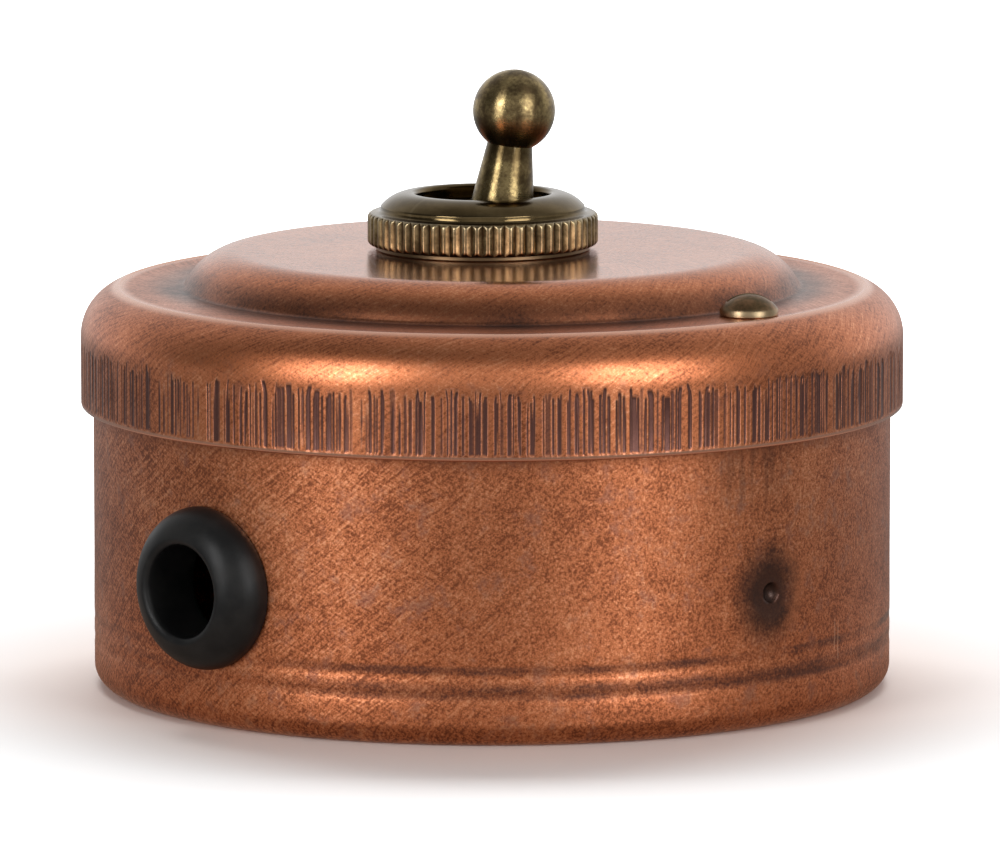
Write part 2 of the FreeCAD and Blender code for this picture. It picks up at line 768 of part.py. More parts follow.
extrude(block, "Pocket", recesses, "body_top - pivot_height + ear_drop + recess_gap")
pin_way = sketch_on(block, "XZ_Plane")
circle(pin_way, "0", "pivot_height", "pin_radius + pin_gap")
extrude(block, "Pocket", pin_way, "4 * body_side", both_ways=True)
place(block, x="switch_offset")

# Terminal base: slots for the terminal blocks and holes for the wires.
bed = node(new_body(), "terminal_base")
plan = sketch_on(bed, "XY_Plane", lift="terminal_foot")
rounded_plate(plan, "body_end", "body_side", "body_corner")
for across in ("", "-"):
    for along in ("", "-"):
        circle(plan, f"{across}rivet_end", f"{along}rivet_side", "rivet_radius + seat_gap")
extrude(bed, "Pad", plan, "terminal_thickness")
slots = sketch_on(bed, "XY_Plane", lift="terminal_foot")
slot_half = "block_width / 2 + block_gap"
inner_end = "tongue_end - block_length - block_gap"
rectangle(slots, inner_end, "cavity_end", f"-({slot_half})", slot_half)
rectangle(slots, "-cavity_end", f"-({inner_end})", f"-({slot_half})", slot_half)
middle = "block_length / 2 + block_gap"
rectangle(slots, f"-({middle})", middle, f"-({slot_half})", slot_half)
extrude(bed, "Pocket", slots, "terminal_thickness", reverse=True)
wire_level = "terminal_foot + terminal_thickness / 2"
side_wires = sketch_on(bed, "YZ_Plane")
circle(side_wires, "0", wire_level, "wire_entry")
extrude(bed, "Pocket", side_wires, "4 * body_end", both_ways=True)
front_wire = sketch_on(bed, "XZ_Plane")
circle(front_wire, "0", wire_level, "wire_entry")
extrude(bed, "Pocket", front_wire, "2 * body_side", reverse=True)
place(bed, x="switch_offset")

# Terminals: a block in its slot with a tongue on the deck; the middle one carries the fulcrum.
clamp_screws = []
fixed_contacts = []
for label, hand in (("left_terminal", "-"), ("right_terminal", "")):
    terminal = node(new_body(), label)
    tongue = sketch_on(terminal, "XY_Plane", lift="deck")
    near = "contact_reach - contact_radius - rocker_end"
    ends = (near, "tongue_end") if hand == "" else ("-tongue_end", f"-({near})")
    rectangle(tongue, *ends, "-tongue_width / 2", "tongue_width / 2")
    extrude(terminal, "Pad", tongue, "tongue_wall")
    stem = sketch_on(terminal, "XY_Plane", lift="terminal_foot")
    near = "tongue_end - block_length"
    ends = (near, "tongue_end") if hand == "" else ("-tongue_end", f"-({near})")
    rectangle(stem, *ends, "-block_width / 2", "block_width / 2")
    extrude(terminal, "Pad", stem, "terminal_thickness")
    wire = sketch_on(terminal, "YZ_Plane")
    circle(wire, "0", wire_level, "wire_hole")
    extrude(terminal, "Pocket", wire, "4 * body_end", both_ways=True)
    tapped = sketch_on(terminal, "XY_Plane", lift="terminal_foot")
    circle(tapped, f"{hand}clamp_place", "0", "clamp_radius + thread_gap")
    extrude(terminal, "Pocket", tapped, "clamp_length + thread_gap", reverse=True)
    place(terminal, x="switch_offset")
    screw = round_screw("clamp_radius", "clamp_length", "clamp_head_radius", "clamp_head_height")
    place(screw, x=f"switch_offset + {hand}clamp_place", z="terminal_foot", axis=(1, 0, 0), angle="180")
    clamp_screws.append(screw)
    button = new_body()
    disc = sketch_on(button, "XY_Plane")
    circle(disc, f"{hand}contact_reach", "0", "contact_radius")
    extrude(button, "Pad", disc, "contact_height")
    place(button, x="switch_offset", z="tongue_top")
    fixed_contacts.append(button)

common = node(new_body(), "common_terminal")
saddle = sketch_on(common, "XY_Plane", lift="deck")
rectangle(saddle, "-block_length * 0.75", "block_length * 0.75", "-tongue_width / 2", "tongue_width / 2")
extrude(common, "Pad", saddle, "tongue_wall")
stem = sketch_on(common, "XY_Plane", lift="terminal_foot")
rectangle(stem, "-block_length / 2", "block_length / 2", "-block_width / 2", "block_width / 2")
extrude(common, "Pad", stem, "terminal_thickness")
ridge = sketch_on(common, "XZ_Plane")
outline(
    ridge,
    ("-fulcrum_radius", "deck"),
    ("fulcrum_radius", "deck"),
    ("fulcrum_radius", "fulcrum_height"),
    ("0", "fulcrum_height + fulcrum_radius", "fulcrum_radius", 1),
    ("-fulcrum_radius", "fulcrum_height", "fulcrum_radius", 1),
)
extrude(common, "Pad", ridge, "rocker_width", both_ways=True)
wire = sketch_on(common, "XZ_Plane")
circle(wire, "0", wire_level, "wire_hole")
extrude(common, "Pocket", wire, "4 * block_width", both_ways=True)
tapped = sketch_on(common, "XY_Plane", lift="terminal_foot")
circle(tapped, "0", "0", "clamp_radius + thread_gap")
extrude(common, "Pocket", tapped, "clamp_length + thread_gap", reverse=True)
place(common, x="switch_offset")
screw = round_screw("clamp_radius", "clamp_length", "clamp_head_radius", "clamp_head_height")
place(screw, x="switch_offset", z="terminal_foot", axis=(1, 0, 0), angle="180")
clamp_screws.append(screw)
group(clamp_screws, "terminal_screws")
group(fixed_contacts, "fixed_contacts")

# Rocker: bar that see-saws on the fulcrum, with a contact button under each end.
rocker = node(new_body(), "rocker")
profile = sketch_on(rocker, "XZ_Plane")
bar_end = "contact_reach + contact_radius + rocker_end"
hub_end = "sqrt(hub_radius^2 - rocker_lift^2)"
seat = "fulcrum_radius + fulcrum_gap"
outline(
    profile,
    (bar_end, "rocker_lift"),
    (bar_end, "rocker_lift + rocker_wall"),
    (f"-({bar_end})", "rocker_lift + rocker_wall"),
    (f"-({bar_end})", "rocker_lift"),
    (f"-{hub_end}", "rocker_lift"),
    ("-hub_radius", "0", "hub_radius", 1),
    (f"-({seat})", "0"),
    ("0", seat, seat, -1),
    (seat, "0", seat, -1),
    ("hub_radius", "0"),
    (hub_end, "rocker_lift", "hub_radius", 1),
)
extrude(rocker, "Pad", profile, "rocker_width", both_ways=True)
place(rocker, x="switch_offset", z="fulcrum_height", axis=(0, 1, 0), angle="-rocker_tilt")
moving_contacts = []
for hand in ("-", ""):
    button = new_body()
    disc = sketch_on(button, "XY_Plane", lift="rocker_lift - contact_height")
    circle(disc, f"{hand}contact_reach", "0", "contact_radius")
    extrude(button, "Pad", disc, "contact_height")
    place(button, x="switch_offset", z="fulcrum_height", axis=(0, 1, 0), angle="-rocker_tilt")
    moving_contacts.append(button)
group(moving_contacts, "moving_contacts")

# Rivets through yoke, body and terminal base.
rivets = []
for across in ("", "-"):
    for along in ("", "-"):
        rivet = new_body()
        profile = sketch_on(rivet, "XZ_Plane")
        outline(
            profile,
            ("0", "terminal_foot - rivet_head_height"),
            ("rivet_head_radius", "terminal_foot - rivet_head_height"),
            ("rivet_head_radius", "terminal_foot"),
            ("rivet_radius", "terminal_foot"),
            ("rivet_radius", "plate_top"),
            ("rivet_head_radius", "plate_top"),
            ("rivet_head_radius", "plate_top + rivet_head_height"),
            ("0", "plate_top + rivet_head_height"),
        )
        spin(rivet, profile)
        place(rivet, x=f"switch_offset + {across}rivet_end", y=f"{along}rivet_side")
        rivets.append(rivet)
group(rivets, "body_rivets")

# Earth terminal: drilled post riveted to the floor of the cup, with a clamp screw.
post = node(new_body(), "earth_post")
profile = sketch_on(post, "XZ_Plane")
outline(
    profile,
    ("0", "0"),
    ("earth_spigot", "0"),
    ("earth_spigot", "base_wall"),
    ("earth_radius", "base_wall"),
    ("earth_radius", "base_wall + earth_height"),
    ("0", "base_wall + earth_height"),
)
spin(post, profile)
tapped = sketch_on(post, "XY_Plane", lift="base_wall + earth_height")
circle(tapped, "0", "0", "earth_screw_radius + thread_gap")
extrude(post, "Pocket", tapped, "earth_screw_length + thread_gap")
wire = sketch_on(post, "YZ_Plane")
circle(wire, "0", "base_wall + earth_wire_height", "wire_hole")
extrude(post, "Pocket", wire, "4 * earth_radius", both_ways=True)
place(post, y="earth_place")
earth_screw = round_screw(
    "earth_screw_radius", "earth_screw_length", "earth_head_radius", "earth_head_height"
)
place(earth_screw, y="earth_place", z="base_wall + earth_height", angle="30")
node(earth_screw, "earth_screw")

doc.recompute()
for item in doc.Objects:
    if "Invalid" in item.State or "Error" in item.State:
        raise RuntimeError(f"{item.Label} did not compute: {item.State}")
os.makedirs("parts", exist_ok=True)
for item in nodes:
    if item.Shape.isNull() or not item.Shape.isValid() or item.Shape.Volume <= 0:
        raise RuntimeError(f"{item.Label} has no sound solid")
    item.Shape.exportStep(f"parts/{item.Label}.step")
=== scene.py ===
import math

import bmesh
import bpy
import numpy as np
from mathutils import Matrix, Vector


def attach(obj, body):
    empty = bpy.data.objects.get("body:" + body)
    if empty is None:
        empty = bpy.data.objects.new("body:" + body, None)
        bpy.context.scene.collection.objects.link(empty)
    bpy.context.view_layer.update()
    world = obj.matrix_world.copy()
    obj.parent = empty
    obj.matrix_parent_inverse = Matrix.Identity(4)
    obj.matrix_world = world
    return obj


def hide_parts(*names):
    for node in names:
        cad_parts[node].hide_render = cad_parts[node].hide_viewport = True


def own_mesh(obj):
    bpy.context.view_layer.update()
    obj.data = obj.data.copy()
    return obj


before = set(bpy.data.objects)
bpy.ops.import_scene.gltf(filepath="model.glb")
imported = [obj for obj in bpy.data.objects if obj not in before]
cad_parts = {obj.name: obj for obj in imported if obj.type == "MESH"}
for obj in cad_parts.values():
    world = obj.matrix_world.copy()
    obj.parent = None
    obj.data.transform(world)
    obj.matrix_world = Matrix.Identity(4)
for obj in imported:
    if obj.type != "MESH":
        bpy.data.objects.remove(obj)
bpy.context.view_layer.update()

# Cup: the round box that is screwed to the wall, spun from one copper sheet with two shallow rings
# rolled in above its foot. It is rubbed down by hand, left to brown, and lacquered.
MM = 0.001
CUP_RADIUS = 38.8
CUP_INSIDE = 37.9
CUP_RIM = 35.5
CUP_CORNER = 2.2
CUP_FLOOR = 0.9
RING_HEIGHTS = (4.8, 6.9)
RING_WIDTH = 1.2
RING_DEPTH = 0.04
WELD_AZIMUTH = 43.2
WELD_HEIGHT = 13.15
WELD_DISH = (2.4, 0.15)
WELD_PIT = (1.0, 0.6)


def arc(centre, radius, start, end, steps):
    """Points of an arc in a turned profile; angles in degrees, 0 points away from the axis."""
    turns = np.radians(np.linspace(start, end, steps + 1))
    return [(centre[0] + radius * math.cos(t), centre[1] + radius * math.sin(t)) for t in turns]


def filled(profile, pitch):
    """The closed profile again, with points added so that no run is longer than the pitch."""
    points = []
    for (r0, z0), (r1, z1) in zip(profile, profile[1:] + profile[:1]):
        if r0 == r1 == 0.0:
            points.append((r0, z0))
            continue
        steps = max(1, math.ceil(math.hypot(r1 - r0, z1 - z0) / pitch))
        points += [(r0 + (r1 - r0) * i / steps, z0 + (z1 - z0) * i / steps) for i in range(steps)]
    return points


def turned(name, profile, counts):
    """Mesh of a closed profile spun about the upright axis, with so many points in each row."""
    if isinstance(counts, int):
        counts = [counts] * len(profile)
    points, rows, faces = [], [], []
    for (radius, height), count in zip(profile, counts):
        if radius < 1e-6:
            count = 1
        rows.append(range(len(points), len(points) + count))
        for turn in np.arange(count) * (2 * math.pi / count):
            points.append((radius * math.sin(turn), -radius * math.cos(turn), height))
    for low, high in zip(rows, rows[1:] + rows[:1]):
        many, few = (low, high) if len(low) >= len(high) else (high, low)
        if len(many) == 1:
            continue
        share = len(many) // len(few)
        for i, start in enumerate(many):
            end = many[(i + 1) % len(many)]
            near, far = few[i // share], few[(i // share + 1) % len(few)]
            if len(few) == 1:
                faces.append((start, end, near))
            elif share == 1:
                faces.append((start, end, far, near))
            else:
                if i % share == share // 2:
                    faces.append((start, far, near))
                faces.append((start, end, near if i % share < share // 2 else far))
    mesh = bpy.data.meshes.new(name)
    mesh.from_pydata(np.array(points) * MM, [], faces)
    return mesh


def dressed(mesh, sharp=40.0):
    """Faces turned outward and shaded smooth, apart from the sharp edges."""
    form = bmesh.new()
    form.from_mesh(mesh)
    bmesh.ops.recalc_face_normals(form, faces=form.faces)
    form.to_mesh(mesh)
    form.free()
    mesh.shade_smooth()
    mesh.set_sharp_from_angle(angle=math.radians(sharp))
    return mesh


def piece(name, mesh, material):
    """An object of its own for a finished mesh."""
    made = bpy.data.objects.new(name, mesh)
    bpy.context.scene.collection.objects.link(made)
    if material:
        mesh.materials.clear()
        mesh.materials.append(material)
    return made


def settled(made):
    """The piece with its modifiers turned into a plain mesh."""
    evaluated = made.evaluated_get(bpy.context.evaluated_depsgraph_get())
    mesh = bpy.data.meshes.new_from_object(evaluated)
    made.modifiers.clear()
    made.data = mesh
    return made


def bored(made, *bars):
    """Cut round holes; each bar is a foot, a head and a radius in millimetres."""
    for foot, head, radius in bars:
        way = Vector(head) - Vector(foot)
        rod = turned("rod", [(0.0, 0.0), (radius, 0.0), (radius, way.length), (0.0, way.length)], 96)
        upright = way.to_track_quat("Z", "Y").to_matrix().to_4x4()
        rod.transform(Matrix.Translation(Vector(foot) * MM) @ upright)
        tool = piece("rod", dressed(rod), None)
        cut = made.modifiers.new("hole", "BOOLEAN")
        cut.operation = "DIFFERENCE"
        cut.solver = "EXACT"
        cut.object = tool
        settled(made)
        bpy.data.objects.remove(tool)
    return made


def heading(azimuth):
    """Unit vector away from the axis; azimuth in degrees to the right of the front."""
    turn = math.radians(azimuth)
    return Vector((math.sin(turn), -math.cos(turn), 0.0))


class Nodes:
    """Adds nodes to a tree and joins them in one line each."""

    def __init__(self, tree):
        self.tree = tree

    def add(self, kind, inputs=None, **settings):
        made = self.tree.nodes.new(kind)
        for name, value in settings.items():
            setattr(made, name, value)
        for name, value in (inputs or {}).items():
            self.put(made.inputs[name], value)
        return made

    def put(self, socket, value):
        if isinstance(value, bpy.types.NodeSocket):
            self.tree.links.new(value, socket)
        elif isinstance(value, tuple) and socket.type == "RGBA":
            socket.default_value = (*value, 1.0)
        else:
            socket.default_value = value

    def math(self, operation, *values):
        return self.add("ShaderNodeMath", dict(enumerate(values)), operation=operation).outputs[0]

    def times(self, first, *others):
        """Product of several values."""
        for other in others:
            first = self.math("MULTIPLY", first, other)
        return first

    def off(self, value, mark):
        """How far a value lies from a mark, on either side."""
        return self.math("ABSOLUTE", self.math("SUBTRACT", value, mark))

    def blend(self, factor, low, high):
        """A value between two others."""
        return self.add("ShaderNodeMix", {0: factor, 2: low, 3: high}).outputs[0]

    def vector(self, x, y, z=0.0):
        return self.add("ShaderNodeCombineXYZ", {"X": x, "Y": y, "Z": z}).outputs[0]

    def length(self, vector):
        return self.add("ShaderNodeVectorMath", {0: vector}, operation="LENGTH").outputs["Value"]

    def spread(self, value, low, high, to_low=0.0, to_high=1.0, kind="SMOOTHSTEP"):
        """A value between two marks, taken smoothly from one level to the other."""
        limits = {"Value": value, "From Min": low, "From Max": high, "To Min": to_low, "To Max": to_high}
        return self.add("ShaderNodeMapRange", limits, interpolation_type=kind).outputs[0]

    def noise(self, vector, scale, detail=3.0, rough=0.55, bend=0.0):
        limits = {"Vector": vector, "Scale": scale, "Detail": detail, "Roughness": rough}
        return self.add("ShaderNodeTexNoise", {**limits, "Distortion": bend}).outputs["Fac"]

    def mix(self, factor, under, over):
        return self.add("ShaderNodeMix", {0: factor, 6: under, 7: over}, data_type="RGBA").outputs[2]


class Finish(Nodes):
    """A surface made of nodes; its plain values sit on the shader itself."""

    def __init__(self, name, **plain):
        self.material = bpy.data.materials.new(name)
        self.material.use_nodes = True
        super().__init__(self.material.node_tree)
        self.shader = self.tree.nodes["Principled BSDF"]
        for socket, value in plain.items():
            self.put(self.shader.inputs[socket.replace("_", " ").title()], value)
        where = self.add("ShaderNodeTexCoord").outputs["Object"]
        scaled = self.add("ShaderNodeVectorMath", {0: where, 3: 1.0 / MM}, operation="SCALE")
        self.spot = scaled.outputs[0]
        split = self.add("ShaderNodeSeparateXYZ", {0: self.spot}).outputs
        self.x, self.y, self.height = split[0], split[1], split[2]

    def wrap(self):
        """Azimuth in degrees to the right of the front, and distance from the upright axis."""
        turn = self.math("ARCTAN2", self.x, self.math("MULTIPLY", self.y, -1.0))
        squares = self.math("MULTIPLY_ADD", self.x, self.x, self.math("MULTIPLY", self.y, self.y))
        return self.math("DEGREES", turn), self.math("SQRT", squares)

    def streaks(self, along, up, angle, fine, coarse, seed):
        """Thin noise drawn out along one direction of an unrolled surface."""
        sine, cosine = math.sin(math.radians(angle)), math.cos(math.radians(angle))
        length = self.math("MULTIPLY_ADD", along, cosine * coarse, self.times(up, sine * coarse))
        width = self.math("MULTIPLY_ADD", along, -sine * fine, self.times(up, cosine * fine))
        return self.noise(self.vector(length, width, seed), 1.0, 2.0, 0.6)

    def bump(self, height, distance):
        made = self.add("ShaderNodeBump", {"Height": height, "Distance": distance * MM})
        self.put(self.shader.inputs["Normal"], made.outputs[0])

    def colour(self, value):
        self.put(self.shader.inputs["Base Color"], value)

    def rough(self, value):
        self.put(self.shader.inputs["Roughness"], value)


COPPER = (0.60, 0.197, 0.082)
COPPER_PALE = (0.85, 0.375, 0.19)
COPPER_BROWN = (0.235, 0.07, 0.03)
COPPER_PURPLE = (0.21, 0.092, 0.078)
COPPER_DARK = (0.055, 0.028, 0.022)


class Copper(Finish):
    """Hand-rubbed copper: brown clouds, smears and grain under brush strokes and hair scratches."""

    def __init__(self, name, reach):
        super().__init__(name, metallic=1.0, coat_weight=0.2, coat_roughness=0.25)
        self.azimuth, self.radius = self.wrap()
        self.along = self.math("MULTIPLY", self.azimuth, math.radians(1.0) * reach)
        self.up = self.math("SUBTRACT", self.height, self.radius)
        drift = self.noise(self.spot, 0.12, 2.0)
        along = self.math("MULTIPLY_ADD", drift, 1.6, self.along)
        up = self.math("MULTIPLY_ADD", drift, -1.4, self.up)
        seamless = self.spread(self.math("ABSOLUTE", self.azimuth), 178.0, 160.0)
        self.cloud = self.noise(self.spot, 0.1, 4.0, 0.6)
        self.grain = self.noise(self.spot, 3.4, 3.0, 0.8)
        self.smudge = self.noise(self.spot, 0.4, 4.0, 0.7)
        flat = self.vector(self.times(along, 0.07), self.times(up, 0.45), 5.0)
        smear = self.noise(flat, 1.0, 4.0, 0.65)
        brush = self.streaks(along, up, 36.0, 2.6, 0.1, 3.0)
        hair = self.streaks(along, up, 42.0, 5.5, 0.3, 7.0)
        cross = self.streaks(along, up, -24.0, 5.5, 0.35, 9.0)
        self.smear = self.blend(seamless, 0.5, smear)
        self.brush = self.blend(seamless, 0.5, brush)
        self.hair = self.math("MULTIPLY_ADD", cross, 0.4, self.math("MULTIPLY", hair, 0.6))

    def total(self, **shares):
        """Weighted sum of the named parts of the pattern, about zero."""
        tone = 0.0
        for part, share in shares.items():
            level = self.math("SUBTRACT", getattr(self, part), 0.5)
            tone = self.math("MULTIPLY_ADD", level, share, tone)
        return tone

    def shades(self, tone, smudged):
        """Brown, copper and pale copper by tone, with purple smudges."""
        colour = self.mix(self.spread(tone, -0.24, 0.05), COPPER_BROWN, COPPER)
        colour = self.mix(self.spread(tone, 0.05, 0.3), colour, COPPER_PALE)
        smudge = self.times(self.spread(self.smudge, 0.52, 0.7), smudged)
        return self.mix(smudge, colour, COPPER_PURPLE)


GROOVE_SHADE = (0.105, 0.05, 0.042)
SHADE_BANDS = ((5.3, 1.1), (7.35, 0.6))
WELD_HIGHLIGHT = (0.74, 0.26, 0.11)
PIT_BLACK = (0.03, 0.02, 0.017)
DRIP_AZIMUTH = 39.0
NICKS = ((57.7, 6.3, 10.0), (58.6, 5.2, 9.6))
NICK_BRIGHT = (0.85, 0.5, 0.33)

cup_finish = Copper("copper_cup", CUP_RADIUS)
left = cup_finish.spread(cup_finish.off(cup_finish.azimuth, -70.0), 95.0, 45.0, 0.25, 1.0)
stroke = cup_finish.times(cup_finish.total(brush=0.55, hair=1.1), left)
tone = cup_finish.math("ADD", stroke, cup_finish.total(cloud=0.45, smear=0.2, smudge=0.45, grain=1.6))
colour = cup_finish.shades(tone, 0.5)
patchy = cup_finish.times(
    cup_finish.spread(cup_finish.total(smear=1.0, cloud=1.0, grain=0.5), -0.22, 0.2, 0.85, 0.15),
    cup_finish.spread(cup_finish.off(cup_finish.azimuth, -55.0), 25.0, 47.0, 0.4, 1.0),
)
# Painted shade: dark bands over the two rolled rings stand in for their shade, as the rings are rolled only
# 0.04 mm deep. The bands come and go in patches.
for band_height, band_half in SHADE_BANDS:
    band = cup_finish.spread(cup_finish.off(cup_finish.height, band_height), band_half, band_half * 0.3)
    colour = cup_finish.mix(cup_finish.times(band, patchy), colour, GROOVE_SHADE)
aside = cup_finish.math("SUBTRACT", cup_finish.azimuth, WELD_AZIMUTH)
aside = cup_finish.times(aside, math.radians(CUP_RADIUS))
above = cup_finish.math("SUBTRACT", cup_finish.height, WELD_HEIGHT)
pit = cup_finish.length(cup_finish.vector(aside, above))
burnt = cup_finish.vector(cup_finish.math("ADD", aside, 0.4), cup_finish.times(above, 0.8))
burnt = cup_finish.math("ADD", cup_finish.total(smudge=3.0, grain=1.5), cup_finish.length(burnt))
# Painted highlight: a crescent of brighter copper on the right side of the weld dish, where the dish would
# catch the light.
dish_highlight = cup_finish.times(
    cup_finish.spread(pit, 2.6, 3.4),
    cup_finish.spread(pit, 5.2, 3.6),
    cup_finish.spread(aside, 0.5, 3.0, 0.0, 0.5),
)
colour = cup_finish.mix(dish_highlight, colour, WELD_HIGHLIGHT)
colour = cup_finish.mix(cup_finish.spread(burnt, 5.3, 1.7, 0.0, 0.92), colour, COPPER_DARK)
# The pit of the weld mark is darkened near black.
colour = cup_finish.mix(cup_finish.spread(pit, 1.2, 0.7, 0.0, 0.7), colour, PIT_BLACK)
drip = cup_finish.streaks(cup_finish.along, cup_finish.up, 90.0, 1.6, 0.12, 21.0)
drip = cup_finish.times(
    cup_finish.spread(drip, 0.42, 0.62, 0.3, 1.0),
    cup_finish.spread(cup_finish.height, 18.0, 27.0, 0.0, 0.5),
    cup_finish.spread(cup_finish.off(cup_finish.azimuth, DRIP_AZIMUTH), 11.0, 3.0),
)
colour = cup_finish.mix(drip, colour, COPPER_DARK)
# Painted shadow: the cup darkens to brown just under the cover's skirt.
skirt_shadow = cup_finish.spread(cup_finish.height, 25.6, 27.6, 0.0, 0.55)
colour = cup_finish.mix(skirt_shadow, colour, COPPER_BROWN)
for nick, foot, head in NICKS:
    line = cup_finish.times(
        cup_finish.spread(cup_finish.off(cup_finish.azimuth, nick), 0.2, 0.05),
        cup_finish.spread(cup_finish.height, foot, foot + 0.6),
        cup_finish.spread(cup_finish.height, head, head - 1.5),
        0.5,
    )
    colour = cup_finish.mix(line, colour, NICK_BRIGHT)
cup_finish.colour(colour)
cup_finish.rough(cup_finish.spread(tone, -0.25, 0.25, 0.46, 0.36))
cup_finish.bump(cup_finish.total(brush=0.3, hair=1.0, grain=1.0), 0.02)

CUP_EDGE = 0.2
WALL_POINTS = 512
WELD_POINTS = 1536
INSIDE_POINTS = 256
corner = (CUP_RADIUS - CUP_CORNER, CUP_CORNER)
profile = [(0.0, 0.0)]
profile += arc(corner, CUP_CORNER, -90, 0, 14)
for ring_height in RING_HEIGHTS:
    for step in np.linspace(-0.5, 0.5, 11):
        sunk = RING_DEPTH * (1.0 - (2.0 * step) ** 2)
        profile.append((CUP_RADIUS - sunk, ring_height + RING_WIDTH * step))
profile += [(CUP_RADIUS, WELD_HEIGHT - WELD_DISH[0])]
profile += [(CUP_RADIUS, WELD_HEIGHT + lift) for lift in np.arange(-2.25, 2.3, 0.125)]
profile += [(CUP_RADIUS, CUP_RIM - CUP_EDGE), (CUP_RADIUS - CUP_EDGE, CUP_RIM)]
profile += [(CUP_INSIDE + CUP_EDGE, CUP_RIM), (CUP_INSIDE, CUP_RIM - CUP_EDGE)]
profile += arc(corner, CUP_INSIDE - CUP_RADIUS + CUP_CORNER, 0, -90, 8)
profile += [(0.0, CUP_FLOOR)]
profile = filled(profile, 1.6)
counts = []
for radius, height in profile:
    hidden = height < 0.001 or (radius < CUP_INSIDE + 0.1 and height > CUP_FLOOR - 0.1)
    welded = radius > CUP_INSIDE + 0.5 and abs(height - WELD_HEIGHT) < 1.55
    counts.append(WELD_POINTS if welded else INSIDE_POINTS if hidden else WALL_POINTS)
cup_mesh = turned("cup", profile, counts)
points = np.empty(len(cup_mesh.vertices) * 3, dtype=np.float32)
cup_mesh.vertices.foreach_get("co", points)
points = points.reshape(-1, 3).astype(float)
outer = np.hypot(points[:, 0], points[:, 1]) > (CUP_INSIDE + 0.5) * MM
out = heading(WELD_AZIMUTH)
centre = np.array(out) * CUP_RADIUS * MM + np.array((0.0, 0.0, WELD_HEIGHT * MM))
away = np.linalg.norm(points - centre, axis=1) / MM
for reach, depth in (WELD_DISH, WELD_PIT):
    sunk = depth * np.clip(1.0 - (away / reach) ** 2, 0.0, None) ** 0.7 * outer
    points -= np.outer(sunk * MM, np.array(out))
cup_mesh.vertices.foreach_set("co", points.ravel())
cup = piece("copper_cup", dressed(cup_mesh), cup_finish.material)
GROMMET_WAY = heading(-44.5)
GROMMET_HEIGHT = 13.55
GROMMET_SEAT = 6.05
WALL_HOLES = 25.4
WALL_HOLE_RADIUS = 2.25
EARTH_PLACE = 26.9
EARTH_HOLE = 1.65
level = Vector((0.0, 0.0, GROMMET_HEIGHT))
bored(
    cup,
    (GROMMET_WAY * 30.0 + level, GROMMET_WAY * 45.0 + level, GROMMET_SEAT),
    ((-WALL_HOLES, 0.0, -2.0), (-WALL_HOLES, 0.0, 2.0), WALL_HOLE_RADIUS),
    ((WALL_HOLES, 0.0, -2.0), (WALL_HOLES, 0.0, 2.0), WALL_HOLE_RADIUS),
    ((0.0, EARTH_PLACE, -2.0), (0.0, EARTH_PLACE, 2.0), EARTH_HOLE),
)
dressed(cup.data)
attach(cup, "housing")
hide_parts("base_box")

# Earth terminal, lug and terminals: turned and pressed brass, left bright inside the box. The post
# is riveted to the floor, the lug is welded to the wall, and the blocks sit in the moulding.
bright = Finish("bright_brass", metallic=1.0)
tarnish = bright.noise(bright.spot, 0.5, 4.0, 0.6)
bright.colour(bright.mix(bright.spread(tarnish, 0.35, 0.7), (0.62, 0.43, 0.17), (0.80, 0.60, 0.27)))
bright.rough(bright.spread(tarnish, 0.3, 0.7, 0.38, 0.24))
bright.bump(bright.noise(bright.spot, 6.0, 2.0), 0.004)


def finished(finish, *names):
    """Give carried-over pieces of the frame their finish."""
    for name in names:
        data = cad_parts[name].data
        data.materials.clear()
        data.materials.append(finish.material)


finished(bright, "earth_post", "earth_screw", "cover_lug_front")
finished(bright, "common_terminal", "left_terminal", "right_terminal", "terminal_screws", "rocker")

# Grommet: one moulding of black rubber, pushed through the wall so that its groove grips the edge of
# the hole. Its outer lip is a rounded cone with a flat edge that stands off the wall at its sides.
GROMMET_BORE = 4.5
GROMMET_NECK = 6.0
GROMMET_FLANGE = 7.8
LIP_CREST = (5.1, 3.5)
LIP_ROUND = 3.5
LIP_EDGE = 0.5
MOUTH = 3.2
BACK_LIP = (-0.95, -2.95)

rubber = Finish("black_rubber")
rubber.shader.inputs["Specular IOR Level"].default_value = 0.22
dust = rubber.noise(rubber.spot, 0.35, 4.0, 0.6)
rubber.colour(rubber.mix(rubber.spread(dust, 0.35, 0.75), (0.006, 0.006, 0.0062), (0.011, 0.0105, 0.010)))
rubber.rough(rubber.spread(dust, 0.3, 0.7, 0.36, 0.46))
rubber.bump(rubber.noise(rubber.spot, 5.0, 3.0), 0.006)

edge = Vector((GROMMET_FLANGE, LIP_EDGE))
crest = Vector(LIP_CREST)
chord = crest - edge
inward = Vector((-chord.y, chord.x)).normalized() * math.sqrt(LIP_ROUND**2 - chord.length_squared / 4.0)
middle = (edge + crest) / 2.0 + inward
start, end = (math.degrees(math.atan2(spot.y - middle.y, spot.x - middle.x)) for spot in (edge, crest))
drop = LIP_CREST[1] - MOUTH
run = LIP_CREST[0] - GROMMET_BORE
mouth_round = (run**2 + drop**2) / (2.0 * drop)
mouth_end = math.degrees(math.asin(min(1.0, run / mouth_round)))
profile = [(GROMMET_NECK, BACK_LIP[0]), (GROMMET_NECK, 0.03), (GROMMET_FLANGE - 0.1, 0.03)]
profile += [(GROMMET_FLANGE, 0.12)]
profile += arc(middle, LIP_ROUND, start, end, 22)
profile += arc((LIP_CREST[0], LIP_CREST[1] - mouth_round), mouth_round, 90, 90 + mouth_end, 10)[1:]
profile += [(GROMMET_BORE, BACK_LIP[1] + 0.2), (GROMMET_BORE + 0.2, BACK_LIP[1])]
profile += [(GROMMET_FLANGE - 0.3, BACK_LIP[1]), (GROMMET_FLANGE, BACK_LIP[1] + 0.3)]
profile += [(GROMMET_FLANGE, BACK_LIP[0] - 0.2), (GROMMET_FLANGE - 0.2, BACK_LIP[0])]
grommet_mesh = turned("grommet", filled(profile, 0.5), 192)
